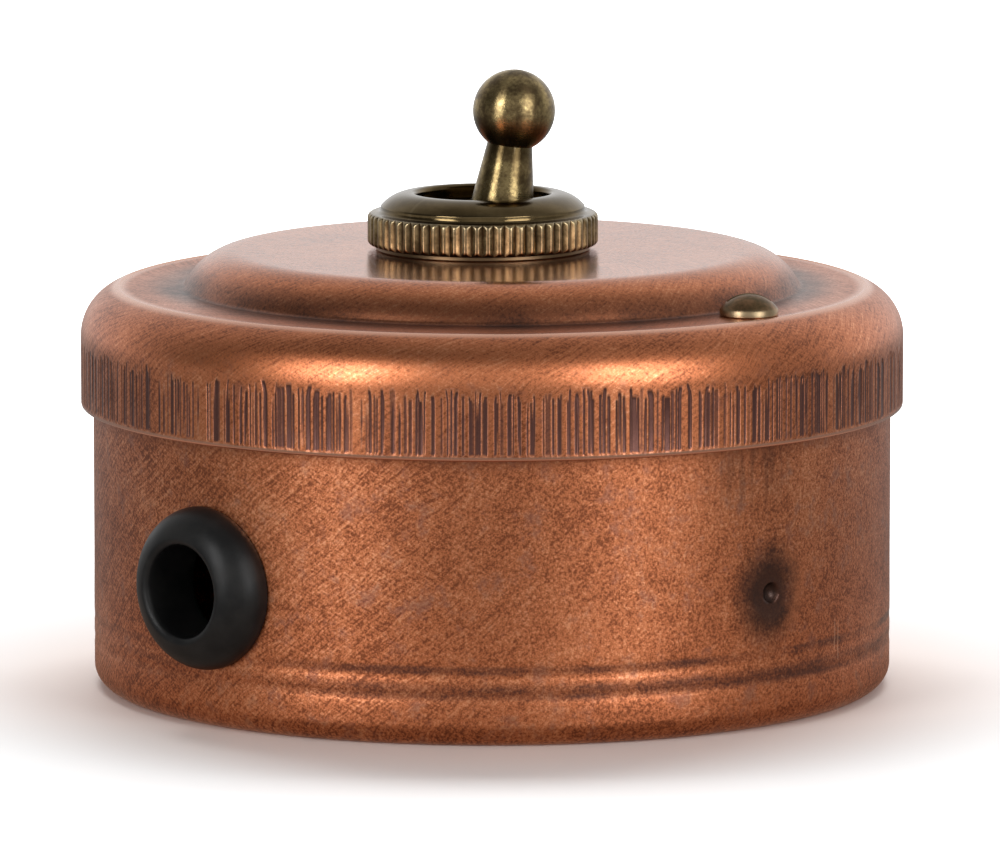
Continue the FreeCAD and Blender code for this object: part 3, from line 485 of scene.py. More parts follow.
for vertex in grommet_mesh.vertices:
    x, y, out = vertex.co / MM
    share = min(1.0, max(0.0, (math.hypot(x, y) - 5.5) / 0.4)) * min(1.0, max(0.0, (0.4 - out) / 0.3))
    out -= share * (CUP_RADIUS - math.sqrt(CUP_RADIUS**2 - x**2))
    side = Vector((-GROMMET_WAY.y, GROMMET_WAY.x, 0.0))
    vertex.co = (GROMMET_WAY * (CUP_RADIUS + out) + side * x + Vector((0.0, 0.0, GROMMET_HEIGHT + y))) * MM
grommet = piece("cable_grommet_rubber", dressed(grommet_mesh, 50.0), rubber.material)
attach(grommet, "housing")
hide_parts("cable_grommet")

# Mechanism: dark mouldings riveted under a plated steel yoke, a nylon plunger on a wire spring, and
# silver buttons on the contact bar. All of it is shut away under the cover.
steel = Finish("zinc_steel", metallic=1.0)
bloom = steel.noise(steel.spot, 0.6, 4.0, 0.6)
steel.colour(steel.mix(bloom, (0.46, 0.47, 0.49), (0.66, 0.67, 0.68)))
steel.rough(steel.spread(bloom, 0.3, 0.7, 0.34, 0.46))
steel.bump(steel.noise(steel.spot, 7.0, 2.0), 0.003)
finished(steel, "yoke", "pivot_pin", "body_rivets")

moulding = Finish("brown_moulding")
swirl = moulding.noise(moulding.spot, 0.7, 5.0, 0.6, 0.8)
moulding.colour(moulding.mix(swirl, (0.018, 0.010, 0.007), (0.045, 0.024, 0.016)))
moulding.rough(moulding.spread(swirl, 0.3, 0.7, 0.36, 0.5))
moulding.bump(moulding.noise(moulding.spot, 8.0, 2.0), 0.003)
finished(moulding, "switch_body", "terminal_base")

nylon = Finish("white_nylon", subsurface_weight=0.1)
haze = nylon.noise(nylon.spot, 1.2, 3.0)
nylon.colour(nylon.mix(haze, (0.70, 0.68, 0.60), (0.80, 0.79, 0.73)))
nylon.rough(nylon.spread(haze, 0.3, 0.7, 0.4, 0.52))
finished(nylon, "plunger")

silver = Finish("contact_silver", metallic=1.0)
film = silver.noise(silver.spot, 1.5, 4.0)
silver.colour(silver.mix(film, (0.62, 0.60, 0.56), (0.86, 0.85, 0.82)))
silver.rough(silver.spread(film, 0.3, 0.7, 0.32, 0.2))
finished(silver, "fixed_contacts", "moving_contacts")

# Cover: one copper sheet spun to a skirt, a round shoulder, a rim and a raised disc. The skirt is
# scored all round with upright cuts that the patina fills, and the disc is rubbed to a shine.
COVER_RADIUS = 40.0
COVER_WALL = 0.9
SKIRT_FOOT = 27.4
SKIRT_EDGE = 0.3
SHOULDER_FOOT = 34.25
SHOULDER_ROUND = 4.95
SHOULDER_MIDDLE = 35.05
LIP_ANGLE = 75.0
LIP_RUN = 0.2
LIP_RADIUS = 36.331
RIM_TOP = 38.9313
DISC_FOOT = 30.35
FOOT_FILLET = 0.6
DOME_ROUND = 5.75
DOME_ANGLE = 64.0
DISC_EDGE = 24.6427
DISC_TOP = 42.4977
SWITCH_OFFSET = -0.9
NECK_HOLE = 8.25
SCREW_PLACE = Vector((24.4384, -22.4725, 0.0))
SCREW_HOLE = 1.7
SCORE_POINTS = 4096
ROUND_POINTS = 512
HIDDEN_POINTS = 128
SCORED = (0.115, 0.052, 0.044)
HEM = (0.84, 0.45, 0.31)
CREASE_SHADE = (0.02, 0.014, 0.012)
SCORE_ROWS = [27.9, 28.2, 31.0, *np.arange(32.9, 34.2, 0.2)]
SCORE_DEPTH = 0.07
SCORE_FOOT = 27.85
SCORE_HEAD = 34.0
SCORE_LAYERS = (
    (173, 0.07, 0.17, 0.7, 0),
    (251, 0.06, 0.15, 0.8, 20),
    (331, 0.06, 0.13, 0.75, 40),
    (419, 0.07, 0.14, 0.6, 60),
)

cover_finish = Copper("copper_cover", COVER_RADIUS)
score = cover_finish.add("ShaderNodeAttribute", attribute_name="score").outputs["Fac"]
on_skirt = cover_finish.spread(cover_finish.height, 34.4, 33.6)
on_rim = cover_finish.spread(cover_finish.height, 38.5, 38.9)
on_top = cover_finish.spread(cover_finish.height, 40.0, 42.3)
tone = cover_finish.total(cloud=0.35, smear=0.15, brush=0.4, hair=0.7, grain=0.9)
stain = cover_finish.noise(cover_finish.vector(cover_finish.times(cover_finish.along, 0.22), 0.0, 4.0), 1.0)
stain = cover_finish.times(cover_finish.spread(stain, 0.36, 0.64, -0.1, 0.06), on_skirt)
tone = cover_finish.math("ADD", tone, stain)
colour = cover_finish.shades(tone, cover_finish.spread(cover_finish.height, 38.0, 34.0, 0.0, 0.35))
# Beside each cut the copper is painted pale, partly a rubbed burr and partly a painted highlight.
burr_and_highlight = cover_finish.spread(score, 0.3, 0.1, 0.0, 0.2)
burr_and_highlight = cover_finish.times(cover_finish.spread(score, 0.0, 0.06), burr_and_highlight)
colour = cover_finish.mix(burr_and_highlight, colour, HEM)
colour = cover_finish.mix(cover_finish.spread(score, 0.04, 0.6, 0.0, 0.95), colour, SCORED)
beside = cover_finish.math("SUBTRACT", cover_finish.radius, DISC_FOOT)
# Painted shade: a dark band in the valley round the foot of the disc, broken up by the clouds and grain.
painted_shade = cover_finish.times(
    cover_finish.spread(beside, -2.7, -0.5),
    cover_finish.spread(beside, 4.2, 0.5),
    cover_finish.spread(cover_finish.height, 38.0, 38.8, 0.0, 0.9),
    cover_finish.spread(cover_finish.total(cloud=1.0, grain=0.6), -0.25, 0.2, 1.0, 0.6),
)
colour = cover_finish.mix(painted_shade, colour, COPPER_DARK)
# Painted shade: a thin dark line in the crease at the foot of the disc.
crease_shade_line = cover_finish.spread(cover_finish.math("ABSOLUTE", beside), 0.55, 0.1, 0.0, 0.3)
colour = cover_finish.mix(cover_finish.times(crease_shade_line, on_rim), colour, CREASE_SHADE)
# The lip of the rim and the hem of the skirt are painted pale and made glossier, partly rubbed edges and
# partly a painted highlight.
lip = cover_finish.spread(cover_finish.off(cover_finish.radius, LIP_RADIUS + 0.05), 1.3, 0.1)
hem = cover_finish.spread(cover_finish.height, SKIRT_FOOT + 0.5, SKIRT_FOOT + 0.3)
rubbed_and_highlit = cover_finish.math("MAXIMUM", cover_finish.times(lip, on_rim), hem)
colour = cover_finish.mix(cover_finish.times(rubbed_and_highlit, 0.85), colour, HEM)
cover_finish.colour(colour)
matt = cover_finish.spread(tone, -0.25, 0.25, 0.40, 0.31)
shine = cover_finish.math("MAXIMUM", on_top, cover_finish.times(rubbed_and_highlit, 0.7))
cover_finish.rough(cover_finish.blend(shine, matt, 0.17))
cover_finish.bump(cover_finish.total(brush=0.2, hair=0.8, grain=0.8), 0.013)


class Maker(Nodes):
    """Geometry Nodes with named inputs, which work on the points of a turned mesh."""

    def __init__(self, name, **kinds):
        super().__init__(bpy.data.node_groups.new(name, "GeometryNodeTree"))
        face = self.tree.interface
        face.new_socket("Geometry", in_out="INPUT", socket_type="NodeSocketGeometry")
        self.sockets = {}
        for label, kind in kinds.items():
            made = face.new_socket(label, in_out="INPUT", socket_type=f"NodeSocket{kind}")
            self.sockets[label] = made.identifier
        face.new_socket("Geometry", in_out="OUTPUT", socket_type="NodeSocketGeometry")
        self.given = self.add("NodeGroupInput").outputs
        position = self.add("GeometryNodeInputPosition").outputs[0]
        self.x, self.y, self.z = self.add("ShaderNodeSeparateXYZ", {0: position}).outputs
        self.flat = self.vector(self.x, self.y)
        self.radius = self.length(self.flat)
        turn = self.math("ARCTAN2", self.x, self.math("MULTIPLY", self.y, -1.0))
        self.turn = self.math("DIVIDE", turn, 2.0 * math.pi)

    def close(self, mark, value, **move):
        """Store a value for the finish to read, move the points, and end in plain geometry."""
        store = {"Geometry": self.given["Geometry"], "Name": mark, "Value": value}
        marked = self.add("GeometryNodeStoreNamedAttribute", store, data_type="FLOAT", domain="POINT")
        moved = self.add("GeometryNodeSetPosition", {"Geometry": marked.outputs[0], **move})
        real = self.add("GeometryNodeRealizeInstances", {"Geometry": moved.outputs[0]})
        clad = {"Geometry": real.outputs[0], "Material": self.given["Material"]}
        clad = self.add("GeometryNodeSetMaterial", clad)
        self.add("NodeGroupOutput", {"Geometry": clad.outputs[0]})
        return self

    def work(self, made, **values):
        """Run the tree on a piece and keep the plain mesh."""
        modifier = made.modifiers.new("nodes", "NODES")
        modifier.node_group = self.tree
        for label, value in values.items():
            modifier[self.sockets[label]] = value
        return settled(made)


def scored_skirt():
    """Upright cuts of uneven width and length, sunk into a round skirt."""
    grow = Maker("scored_skirt", Foot="Float", Head="Float", Depth="Float", Seed="Int", Material="Material")
    share = grow.math("FRACT", grow.math("ADD", grow.turn, 1.0))

    def chance(low, high, cell, step):
        seed = grow.math("ADD", grow.given["Seed"], step)
        return grow.add("FunctionNodeRandomValue", {2: low, 3: high, 7: cell, 8: seed}).outputs[1]

    deepest = 0.0
    for lines, thin, wide, odds, step in SCORE_LAYERS:
        place = grow.math("MULTIPLY", share, float(lines))
        cell = grow.math("FLOOR", place)
        splayed = grow.spread(grow.z, 0.0328, 0.0345, 0.0, 0.5)
        lean = grow.times(chance(-0.5, 0.5, cell, step + 7), splayed)
        middle = grow.math("ADD", chance(0.3, 0.7, cell, step + 1), lean)
        half = chance(thin, wide, cell, step + 2)
        away = grow.off(grow.math("FRACT", place), middle)
        edge = grow.math("DIVIDE", grow.math("SUBTRACT", away, half), 0.06 * lines / 251.0)
        there = grow.math("LESS_THAN", chance(0.0, 1.0, cell, step + 3), odds)
        force = chance(0.35, 1.0, cell, step + 4)
        head = grow.math("ADD", grow.given["Head"], chance(-0.0012, 0.0003, cell, step + 5))
        lift = grow.math("POWER", chance(0.0, 1.0, cell, step + 6), 14.0)
        foot = grow.math("MULTIPLY_ADD", lift, 0.003, grow.given["Foot"])
        under = grow.spread(grow.math("SUBTRACT", grow.z, head), 0.0, -0.0003)
        over = grow.spread(grow.math("SUBTRACT", grow.z, foot), 0.0, 0.0002)
        cut = grow.times(grow.spread(edge, 1.0, -0.4), there, force, under, over)
        deepest = grow.math("MAXIMUM", deepest, cut)
    deepest = grow.times(deepest, grow.math("GREATER_THAN", grow.radius, (COVER_RADIUS - 0.3) * MM))
    depth = grow.times(deepest, grow.given["Depth"], -1.0)
    outward = grow.add("ShaderNodeVectorMath", {0: grow.flat}, operation="NORMALIZE").outputs[0]
    shift = grow.add("ShaderNodeVectorMath", {0: outward, 3: depth}, operation="SCALE").outputs[0]
    return grow.close("score", deepest, Offset=shift)


inner_round = SHOULDER_ROUND - COVER_WALL
under = DISC_TOP - COVER_WALL
outside = arc((COVER_RADIUS - SKIRT_EDGE, SKIRT_FOOT + SKIRT_EDGE), SKIRT_EDGE, -90, 0, 3)
outside += [(COVER_RADIUS, z) for z in SCORE_ROWS]
rows = len(outside)
outside += arc((SHOULDER_MIDDLE, SHOULDER_FOOT), SHOULDER_ROUND, 2, LIP_ANGLE - 1.0, 22)
lip_top = RIM_TOP + 0.1
lip_end = LIP_RADIUS - LIP_RUN
outside += [(LIP_RADIUS - 0.02, lip_top - 0.012), (LIP_RADIUS - 0.1, lip_top - 0.05), (lip_end, RIM_TOP)]
outside += [(lip_end - step, RIM_TOP) for step in (0.15, 1.2, 2.4, 3.6, 4.8)]
outside += arc((DISC_FOOT, RIM_TOP + FOOT_FILLET), FOOT_FILLET, -90, -90 - DOME_ANGLE, 6)
outside += arc((DISC_EDGE, DISC_TOP - DOME_ROUND), DOME_ROUND, 90 - DOME_ANGLE, 90, 18)[1:]
outside += [(DISC_EDGE * share, DISC_TOP) for share in (0.97, 0.9, 0.8, 0.7, 0.6, 0.5, 0.4)]
inside = [(DISC_EDGE * 0.4, under), (DISC_EDGE, under)]
inside += arc((DISC_EDGE, DISC_TOP - DOME_ROUND), DOME_ROUND - COVER_WALL, 90, 90 - DOME_ANGLE, 6)[1:]
inside += arc((DISC_FOOT, RIM_TOP + FOOT_FILLET), FOOT_FILLET + COVER_WALL, -90 - DOME_ANGLE, -90, 4)
inside += [(LIP_RADIUS - 0.433, RIM_TOP - COVER_WALL)]
inside += arc((SHOULDER_MIDDLE, SHOULDER_FOOT), inner_round, LIP_ANGLE, 0, 8)
inside += [(COVER_RADIUS - COVER_WALL, SKIRT_FOOT)]
counts = [SCORE_POINTS] * rows + [ROUND_POINTS] * (len(outside) - rows)
counts += [HIDDEN_POINTS] * len(inside)
profile = outside[:-1] + [(0.0, DISC_TOP), (0.0, under)] + inside[1:]
counts = counts[: len(outside) - 1] + [1, 1] + counts[len(outside) + 1 :]
cover = piece("copper_cover", dressed(turned("cover", profile, counts)), None)
scored_skirt().work(
    cover,
    Foot=SCORE_FOOT * MM,
    Head=SCORE_HEAD * MM,
    Depth=SCORE_DEPTH * MM,
    Seed=11,
    Material=cover_finish.material,
)
neck_spot = Vector((SWITCH_OFFSET, 0.0, 0.0))
rise = Vector((0.0, 0.0, 50.0))
bored(
    cover,
    (neck_spot, neck_spot + rise, NECK_HOLE),
    (SCREW_PLACE, SCREW_PLACE + rise, SCREW_HOLE),
)
dressed(cover.data)
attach(cover, "housing")
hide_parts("cover")

# Cover screw: a round-headed slotted brass screw, browned like the ring, that holds the cover down to
# its lug. The head stands on the rim, tight against the foot of the disc.
BRASS = (0.40, 0.295, 0.15)
BRASS_PALE = (0.66, 0.535, 0.34)
BRASS_BROWN = (0.10, 0.066, 0.030)
SCREW_HEAD = 2.8
SCREW_RISE = 2.1
SCREW_EDGE = 0.63
SCREW_SHANK = 1.5
SCREW_LENGTH = 8.0
SLOT = 0.8
SLOT_TURN = 4.0


def antique(name, tint, sheen, rubbing=0.7):
    """Browned brass with the high places rubbed bright."""
    surface = Finish(name, metallic=1.0)
    stain = surface.noise(surface.spot, 0.45, 5.0, 0.65)
    speck = surface.noise(surface.spot, 3.0, 3.0, 0.6)
    edge = surface.add("ShaderNodeNewGeometry").outputs["Pointiness"]
    rub = surface.spread(edge, 0.5, 0.56)
    tone = surface.math("MULTIPLY_ADD", speck, 0.4, stain)
    colour = surface.mix(surface.spread(tone, 0.5, 0.95), BRASS_BROWN, tint)
    surface.tint = surface.mix(surface.math("MULTIPLY", rub, rubbing), colour, BRASS_PALE)
    surface.colour(surface.tint)
    surface.rough(surface.spread(tone, 0.45, 0.95, sheen + 0.1, sheen))
    surface.bump(surface.noise(surface.spot, 5.0, 3.0), 0.004)
    return surface


screw_finish = antique("browned_screw", (0.30, 0.16, 0.08), 0.3, 0.35)
rise = SCREW_RISE - SCREW_EDGE
dome = (SCREW_HEAD**2 + rise**2) / (2.0 * rise)
dome_end = math.degrees(math.asin(SCREW_HEAD / dome))
profile = [(0.0, -SCREW_LENGTH), (SCREW_SHANK * 0.7, -SCREW_LENGTH)]
profile += [(SCREW_SHANK, SCREW_SHANK * 0.3 - SCREW_LENGTH), (SCREW_SHANK, 0.0), (SCREW_HEAD - 0.12, 0.0)]
profile += [(SCREW_HEAD, 0.12)]
profile += arc((0.0, SCREW_RISE - dome), dome, 90 - dome_end, 90, 14)
screw_mesh = dressed(turned("screw", filled(profile, 0.8), 96))
screw = piece("round_head_screw", screw_mesh, screw_finish.material)
blade = bmesh.new()
bmesh.ops.create_cube(blade, size=1.0)
bmesh.ops.scale(blade, vec=Vector((3.0 * SCREW_HEAD, SLOT, 2.0 * SLOT)) * MM, verts=blade.verts)
bmesh.ops.translate(blade, vec=Vector((0.0, 0.0, SCREW_RISE * MM)), verts=blade.verts)
blade_mesh = bpy.data.meshes.new("blade")
blade.to_mesh(blade_mesh)
blade.free()
tool = piece("blade", blade_mesh, None)
cut = screw.modifiers.new("slot", "BOOLEAN")
cut.operation = "DIFFERENCE"
cut.object = tool
settled(screw)
bpy.data.objects.remove(tool)

stand = Matrix.Translation((SCREW_PLACE + Vector((0.0, 0.0, RIM_TOP))) * MM)
screw.data.transform(stand @ Matrix.Rotation(math.radians(SLOT_TURN), 4, "Z"))
dressed(screw.data)
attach(screw, "housing")
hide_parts("cover_screws")

# Neck: threaded brass bush whose flange sits under the cover. It carries the ring nut outside, and
# its bore leaves the dolly room to swing.
NECK_BORE = 6.6
NECK_RADIUS = 8.0
NECK_SPIGOT = 7.4
NECK_FLANGE = 9.8
NECK_FOOT = 39.1977
FLANGE_FOOT = 40.3977
NECK_TOP = 46.4477
NECK_CHAMFER = 0.3
THREAD_PITCH = 0.5
THREAD_DEPTH = 0.18

neck_finish = antique("dull_brass", (0.20, 0.13, 0.06), 0.42)
profile = [(NECK_BORE, NECK_FOOT), (NECK_SPIGOT, NECK_FOOT), (NECK_SPIGOT, FLANGE_FOOT)]
profile += [(NECK_FLANGE, FLANGE_FOOT), (NECK_FLANGE, under), (NECK_RADIUS, under)]
for ridge in np.arange(43.2, 46.0, THREAD_PITCH):
    profile += [(NECK_RADIUS, ridge), (NECK_RADIUS - THREAD_DEPTH, ridge + THREAD_PITCH / 2.0)]
profile += [(NECK_RADIUS, NECK_TOP - NECK_CHAMFER), (NECK_RADIUS - NECK_CHAMFER, NECK_TOP)]
profile += [(NECK_BORE, NECK_TOP)]
neck_mesh = turned("neck", filled(profile, 1.0), 128)
neck_mesh.transform(Matrix.Translation(neck_spot * MM))
neck = piece("neck_sleeve", dressed(neck_mesh, 30.0), neck_finish.material)
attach(neck, "housing")
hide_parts("neck_bush")

# Washer and ring nut: turned brass, browned and rubbed, with painted shade on the washer, under the nut and
# in its flutes. The nut is knurled with straight flutes, has a smooth bead above them and closes over the
# end of the neck; the washer keeps it off the copper.
RING_FOOT = 42.9977
RING_RADIUS = 11.2
RING_HEIGHT = 5.05
KNURL_HEIGHT = 3.1
KNURL_DEPTH = 0.3
FLUTES = 64
FLUTE_POINTS = 14

WASHER_RADIUS = 10.4
BEAD_BROWN = (0.115, 0.08, 0.036)
RING_SHADE = (0.03, 0.019, 0.009)

ring_finish = antique("antique_brass_ring", BRASS, 0.24, 0.5)
flute = ring_finish.add("ShaderNodeAttribute", attribute_name="flute").outputs["Fac"]
knurl_top = RING_FOOT + KNURL_HEIGHT
bead = ring_finish.spread(ring_finish.height, knurl_top - 0.2, knurl_top + 0.15, 0.0, 0.85)
foot = ring_finish.spread(ring_finish.height, RING_FOOT + 0.55, RING_FOOT + 0.2, 0.0, 0.9)
# Painted shade under the foot of the nut and in the flute valleys.
painted_shade = ring_finish.math("MAXIMUM", foot, ring_finish.spread(flute, 0.35, 1.0, 0.0, 0.9))
ring_finish.colour(ring_finish.mix(painted_shade, ring_finish.mix(bead, ring_finish.tint, BEAD_BROWN), RING_SHADE))
ring_finish.rough(ring_finish.spread(bead, 0.0, 0.85, 0.28, 0.14))
profile = [(NECK_HOLE, DISC_TOP), (WASHER_RADIUS - 0.12, DISC_TOP), (WASHER_RADIUS, DISC_TOP + 0.12)]
profile += [(WASHER_RADIUS, RING_FOOT - 0.1), (WASHER_RADIUS - 0.1, RING_FOOT), (NECK_HOLE, RING_FOOT)]
washer_mesh = turned("washer", filled(profile, 0.6), 256)
washer_mesh.transform(Matrix.Translation(neck_spot * MM))
# Painted shade: the washer is coloured near black for the shade under the ring nut.
washer_finish = antique("dark_washer", (0.05, 0.032, 0.016), 0.35, 0.15)
washer = piece("seat_washer_brass", dressed(washer_mesh), washer_finish.material)
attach(washer, "housing")
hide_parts("seat_washer")


def knurled():
    """Straight flutes, cut into the rim of a turned ring."""
    grow = Maker("knurled", Radius="Float", Flutes="Int", Depth="Float", Material="Material")
    phase = grow.math("FRACT", grow.math("MULTIPLY_ADD", grow.turn, grow.given["Flutes"], 100.5))
    cut = grow.spread(grow.off(phase, 0.5), 0.4, 0.0, kind="LINEAR")
    limit = grow.math("SUBTRACT", grow.given["Radius"], grow.times(cut, grow.given["Depth"]))
    share = grow.math("DIVIDE", grow.math("MINIMUM", grow.radius, limit), grow.radius)
    moved = grow.vector(grow.times(grow.x, share), grow.times(grow.y, share), grow.z)
    inside = grow.math("LESS_THAN", limit, grow.radius)
    return grow.close("flute", grow.times(cut, inside), Position=moved)


RING_BORE = 8.05
RING_MOUTH = 6.5
RING_ROUND = 0.45
RING_UNDER = 3.75
BEAD_RADIUS = 9.9
BEAD_MIDDLE = 7.1
bead_rise = RING_HEIGHT - 3.4 - 0.35
bead_run = BEAD_RADIUS - RING_MOUTH - 0.6
bead_round = (bead_run**2 + bead_rise**2) / (2.0 * bead_rise)
bead_end = math.degrees(math.asin(bead_run / bead_round))
rim = RING_RADIUS - RING_ROUND
profile = [(RING_BORE, 0.0), (rim, 0.0)]
profile += arc((rim, RING_ROUND), RING_ROUND, -90, 0, 6)[1:]
profile += arc((rim, KNURL_HEIGHT - RING_ROUND), RING_ROUND, 0, 90, 6)
profile += [(10.2, 3.14), (10.0, 3.24), (9.92, 3.36), (BEAD_RADIUS, 3.5), (BEAD_RADIUS, 3.7)]
profile += arc((BEAD_MIDDLE, RING_HEIGHT - bead_round), bead_round, 90 - bead_end, 90, 16)
profile += arc((RING_MOUTH + RING_ROUND, RING_HEIGHT - RING_ROUND), RING_ROUND, 90, 180, 8)
profile += [(RING_MOUTH, RING_UNDER), (RING_BORE, RING_UNDER)]
ring_mesh = turned("ring", filled(profile, 0.4), FLUTES * FLUTE_POINTS)
ring = piece("knurled_ring_nut", ring_mesh, None)
knurled().work(
    ring, Radius=RING_RADIUS * MM, Flutes=FLUTES, Depth=KNURL_DEPTH * MM, Material=ring_finish.material
)
ring.data.transform(Matrix.Translation((neck_spot + Vector((0.0, 0.0, RING_FOOT))) * MM))
dressed(ring.data, 50.0)
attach(ring, "housing")
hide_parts("ring_nut")

# Dolly: ball, tapered stem, boss and bored tail turned from one brass rod, browned and rubbed by the
# finger on the ball. It swings on a pin through its boss.
PIVOT = Vector((SWITCH_OFFSET, 0.0, 31.2977))
REST_TILT = 7.0
BALL = 4.0
BALL_HEIGHT = 24.9
STEM_TOP = 2.2
STEM_FOOT = 11.0
STEM_TAPER = 8.5
BOSS = 4.2
SHANK = 3.0
TAIL = 3.2
TAIL_BORE = 2.1
TAIL_END = -7.2
BORE_END = -2.0
PIN_HOLE = 1.3
DOLLY_DARK = (0.05, 0.033, 0.014)

dolly_finish = antique("antique_brass_dolly", (0.46, 0.345, 0.155), 0.24)
swing = math.radians(REST_TILT)
lean = dolly_finish.times(dolly_finish.math("SUBTRACT", dolly_finish.x, PIVOT.x), math.sin(swing))
along = dolly_finish.math("SUBTRACT", dolly_finish.height, PIVOT.z)
along = dolly_finish.math("MULTIPLY_ADD", along, math.cos(swing), lean)
shade = dolly_finish.times(
    dolly_finish.spread(along, BALL_HEIGHT + 0.2, BALL_HEIGHT - 2.4),
    dolly_finish.spread(along, BALL_HEIGHT - 5.4, BALL_HEIGHT - 3.6, 0.3, 0.85),
)
dolly_finish.colour(dolly_finish.mix(shade, dolly_finish.tint, DOLLY_DARK))
lathe = dolly_finish.noise(dolly_finish.vector(0.0, 0.0, along), 9.0, 3.0, 0.7)
patchy = dolly_finish.noise(dolly_finish.spot, 2.2, 3.0, 0.6)
dolly_finish.bump(dolly_finish.math("MULTIPLY_ADD", patchy, 0.8, lathe), 0.014)
dolly_finish.shader.inputs["Anisotropic"].default_value = 0.8
dolly_finish.shader.inputs["Anisotropic Rotation"].default_value = 0.25
round_it = dolly_finish.add("ShaderNodeTangent", direction_type="UV_MAP", uv_map="round_and_along")
dolly_finish.put(dolly_finish.shader.inputs["Tangent"], round_it.outputs[0])
join = BALL_HEIGHT - math.sqrt(BALL**2 - STEM_TOP**2)
stem_wide = STEM_TOP + (join - STEM_FOOT) * math.tan(math.radians(STEM_TAPER))
ball_start = math.degrees(math.asin((join - BALL_HEIGHT) / BALL))
boss_start = -math.degrees(math.acos(TAIL / BOSS))
boss_end = math.degrees(math.acos(SHANK / BOSS))
profile = [(0.0, BORE_END), (TAIL_BORE, BORE_END), (TAIL_BORE, TAIL_END)]
profile += [(TAIL - 0.4, TAIL_END), (TAIL, TAIL_END + 0.4)]
profile += arc((0.0, 0.0), BOSS, boss_start, boss_end, 20)
profile += [(SHANK, STEM_FOOT - 0.8), (stem_wide, STEM_FOOT), (STEM_TOP + 0.03, join - 0.2)]
profile += arc((0.0, BALL_HEIGHT), BALL, ball_start, 90, 48)
dolly_mesh = turned("dolly", filled(profile, 0.5), 192)
unrolled = dolly_mesh.uv_layers.new(name="round_and_along")
for loop in dolly_mesh.loops:
    x, y, z = dolly_mesh.vertices[loop.vertex_index].co
    unrolled.data[loop.index].uv = (math.atan2(x, -y) / (2.0 * math.pi), z)
dolly = piece("brass_dolly", dressed(dolly_mesh, 30.0), dolly_finish.material)
bored(dolly, ((0.0, -6.0, 0.0), (0.0, 6.0, 0.0), PIN_HOLE))
dolly.data.transform(Matrix.Translation(PIVOT * MM) @ Matrix.Rotation(swing, 4, "Y"))
dressed(dolly.data, 30.0)
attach(dolly, "dolly")
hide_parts("dolly_lever")

# Plunger spring: a short coil of plated steel wire in the bore of the dolly's tail. It pushes the
# plunger on to the contact bar.
spring_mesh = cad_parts["plunger_spring"].data.copy()
form = bmesh.new()
form.from_mesh(spring_mesh)
bmesh.ops.remove_doubles(form, verts=form.verts, dist=0.002 * MM)
form.to_mesh(spring_mesh)
form.free()
spring_mesh.shade_smooth()
spring = piece("plunger_coil", spring_mesh, steel.material)
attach(spring, "dolly")
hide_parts("plunger_spring")
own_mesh(spring)

# Stage: a white floor that keeps the shadow, with painted warm shade round the switch and a painted glow in
# reflections, a pale room that is brightest behind, two soft boxes in front and a panel overhead that
# lights the floor but leaves no reflection.
FLOOR_REACH = 6000.0
FLOOR_WHITE = (0.8, 0.8, 0.8)
FLOOR_WARM_SHADOW = (0.74, 0.665, 0.63)
profile = [(0.0, 0.0), (60.0, 0.0), (400.0, 0.0), (FLOOR_REACH, 0.0), (FLOOR_REACH, -1.0), (0.0, -1.0)]
floor_mesh = turned("floor", profile, 64)
floor_finish = Finish("white_floor", roughness=0.6)
path = floor_finish.add("ShaderNodeLightPath").outputs
radius = floor_finish.wrap()[1]
seen = floor_finish.math("MAXIMUM", path["Is Camera Ray"], path["Is Transmission Ray"])
veil = floor_finish.math("MULTIPLY", seen, floor_finish.spread(radius, 64.0, 100.0))
lit = floor_finish.add("ShaderNodeEmission", {"Strength": veil})
plain = floor_finish.add("ShaderNodeAddShader", {0: floor_finish.shader.outputs[0], 1: lit.outputs[0]})
# Painted reflection: to glossy rays the floor glows instead of being lit. It is dim by the switch for its
# shadow, has a brighter pool of light from 45 to 80 mm, is lighter far off, and is warm near the copper for
# its bounce.
near = floor_finish.spread(radius, 38.0, 46.0, 0.25, 0.26)
pool = floor_finish.spread(radius, 80.0, 60.0, 0.0, 0.16)
pool = floor_finish.times(floor_finish.spread(radius, 45.0, 53.0), pool)
near = floor_finish.math("ADD", near, pool)
painted_reflection = floor_finish.math("ADD", near, floor_finish.spread(radius, 120.0, 600.0, 0.0, 0.4))
painted_bounce = floor_finish.mix(floor_finish.spread(radius, 40.0, 110.0), (1.0, 0.72, 0.56), (1.0, 1.0, 1.0))
glossy = floor_finish.add("ShaderNodeEmission", {"Color": painted_bounce, "Strength": painted_reflection})
# Painted shadow: the floor's colour is darker and warmer within about 62 mm of the axis, a painted contact
# shadow with the copper's warm bounce.
floor_finish.colour(floor_finish.mix(floor_finish.spread(radius, 38.0, 62.0), FLOOR_WARM_SHADOW, FLOOR_WHITE))
surfaces = {0: path["Is Glossy Ray"], 1: plain.outputs[0], 2: glossy.outputs[0]}
both = floor_finish.add("ShaderNodeMixShader", surfaces)
floor_finish.put(floor_finish.tree.nodes["Material Output"].inputs["Surface"], both.outputs[0])
floor = piece("floor", dressed(floor_mesh), floor_finish.material)

world = bpy.data.worlds.new("pale_room")
world.use_nodes = True
bpy.context.scene.world = world
room = Nodes(world.node_tree)
background = world.node_tree.nodes["Background"]
facing = room.add("ShaderNodeTexCoord").outputs["Generated"]
way = room.add("ShaderNodeSeparateXYZ", {0: facing}).outputs


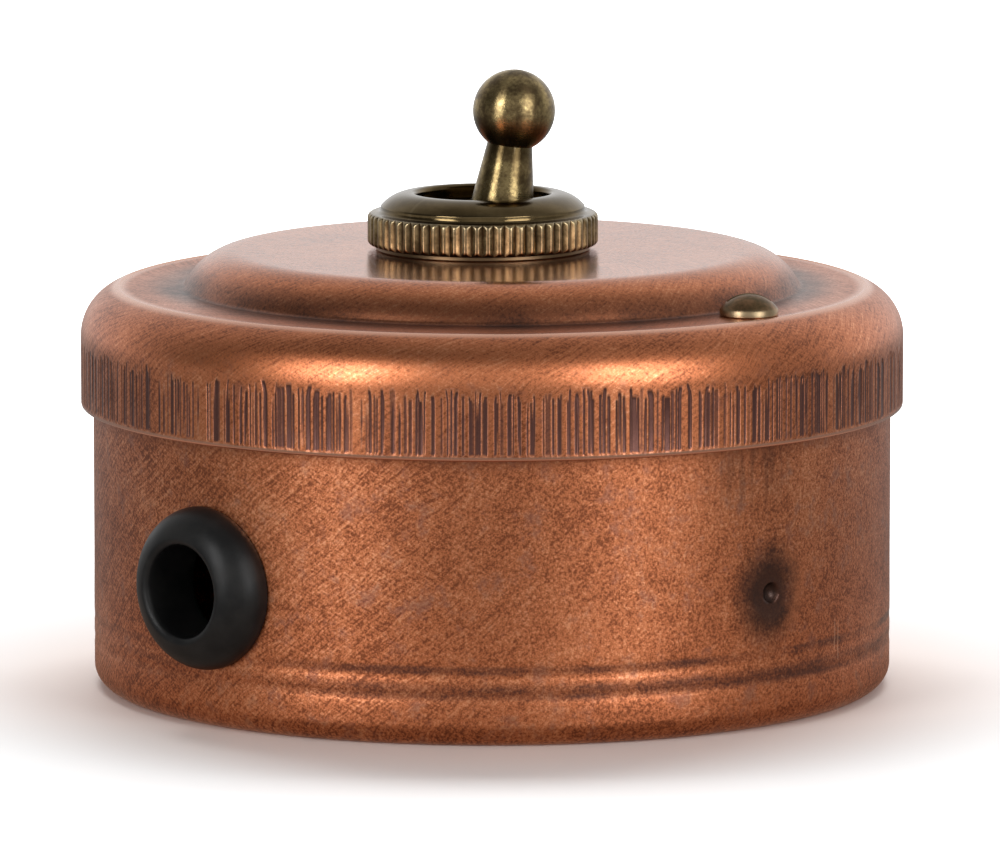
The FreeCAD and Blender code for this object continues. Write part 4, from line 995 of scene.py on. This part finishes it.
def patch(direction, edge, core, level):
    """Soft round patch of light in one direction of the room."""
    toward = room.add("ShaderNodeVectorMath", {0: facing, 1: direction}, operation="DOT_PRODUCT")
    return room.spread(toward.outputs["Value"], edge, core, 0.0, level)


level = room.spread(way[2], 1.0, 0.2, 0.2, 0.78, kind="LINEAR")
level = room.times(room.spread(way[1], 0.05, 0.7), level)
level = room.math("ADD", level, 0.1)
level = room.math("ADD", level, patch((0.0, -0.93, 0.37), 0.84, 0.98, 0.6))
level = room.math("ADD", level, patch((0.7, 0.15, 0.7), 0.4, 0.95, 0.3))
level = room.math("ADD", level, patch((-0.36, 0.3, 0.88), 0.8, 0.98, 0.15))
room.put(background.inputs["Strength"], level)
background.inputs["Color"].default_value = (1.0, 1.0, 1.0, 1.0)


def soft_box(name, azimuth, distance, height, size, radiance):
    """An area lamp that faces the switch; its power follows from its size and brightness."""
    lamp = bpy.data.lights.new(name, "AREA")
    lamp.shape = "RECTANGLE"
    lamp.size, lamp.size_y = size
    lamp.energy = radiance * math.pi * size[0] * size[1]
    made = bpy.data.objects.new(name, lamp)
    bpy.context.scene.collection.objects.link(made)
    made.location = heading(azimuth) * distance + Vector((0.0, 0.0, height))
    aim = Vector((0.0, 0.0, 0.03)) - made.location
    made.rotation_euler = aim.to_track_quat("-Z", "Y").to_euler()
    made.visible_camera = False
    return made


soft_box("soft_box_left", -43.0, 0.9, 0.34, (0.34, 0.62), 6.5)
soft_box("soft_box_right", 41.0, 0.9, 0.32, (0.44, 0.6), 5.2)
panel = soft_box("panel_overhead", 180.0, 0.62, 1.2, (1.1, 0.36), 14.6)
panel.visible_glossy = False

lens = bpy.data.cameras.new("camera")
lens.sensor_fit = "HORIZONTAL"
lens.sensor_width = 36.0
lens.lens = 367.67
camera = bpy.data.objects.new("camera", lens)
bpy.context.scene.collection.objects.link(camera)
camera.location = (0.000773, -0.985, 0.16684)
aim = Vector((0.000773, 0.0, 0.025223)) - camera.location
camera.rotation_euler = aim.to_track_quat("-Z", "Y").to_euler()
bpy.context.scene.camera = camera
bpy.context.scene.view_settings.view_transform = "Standard"
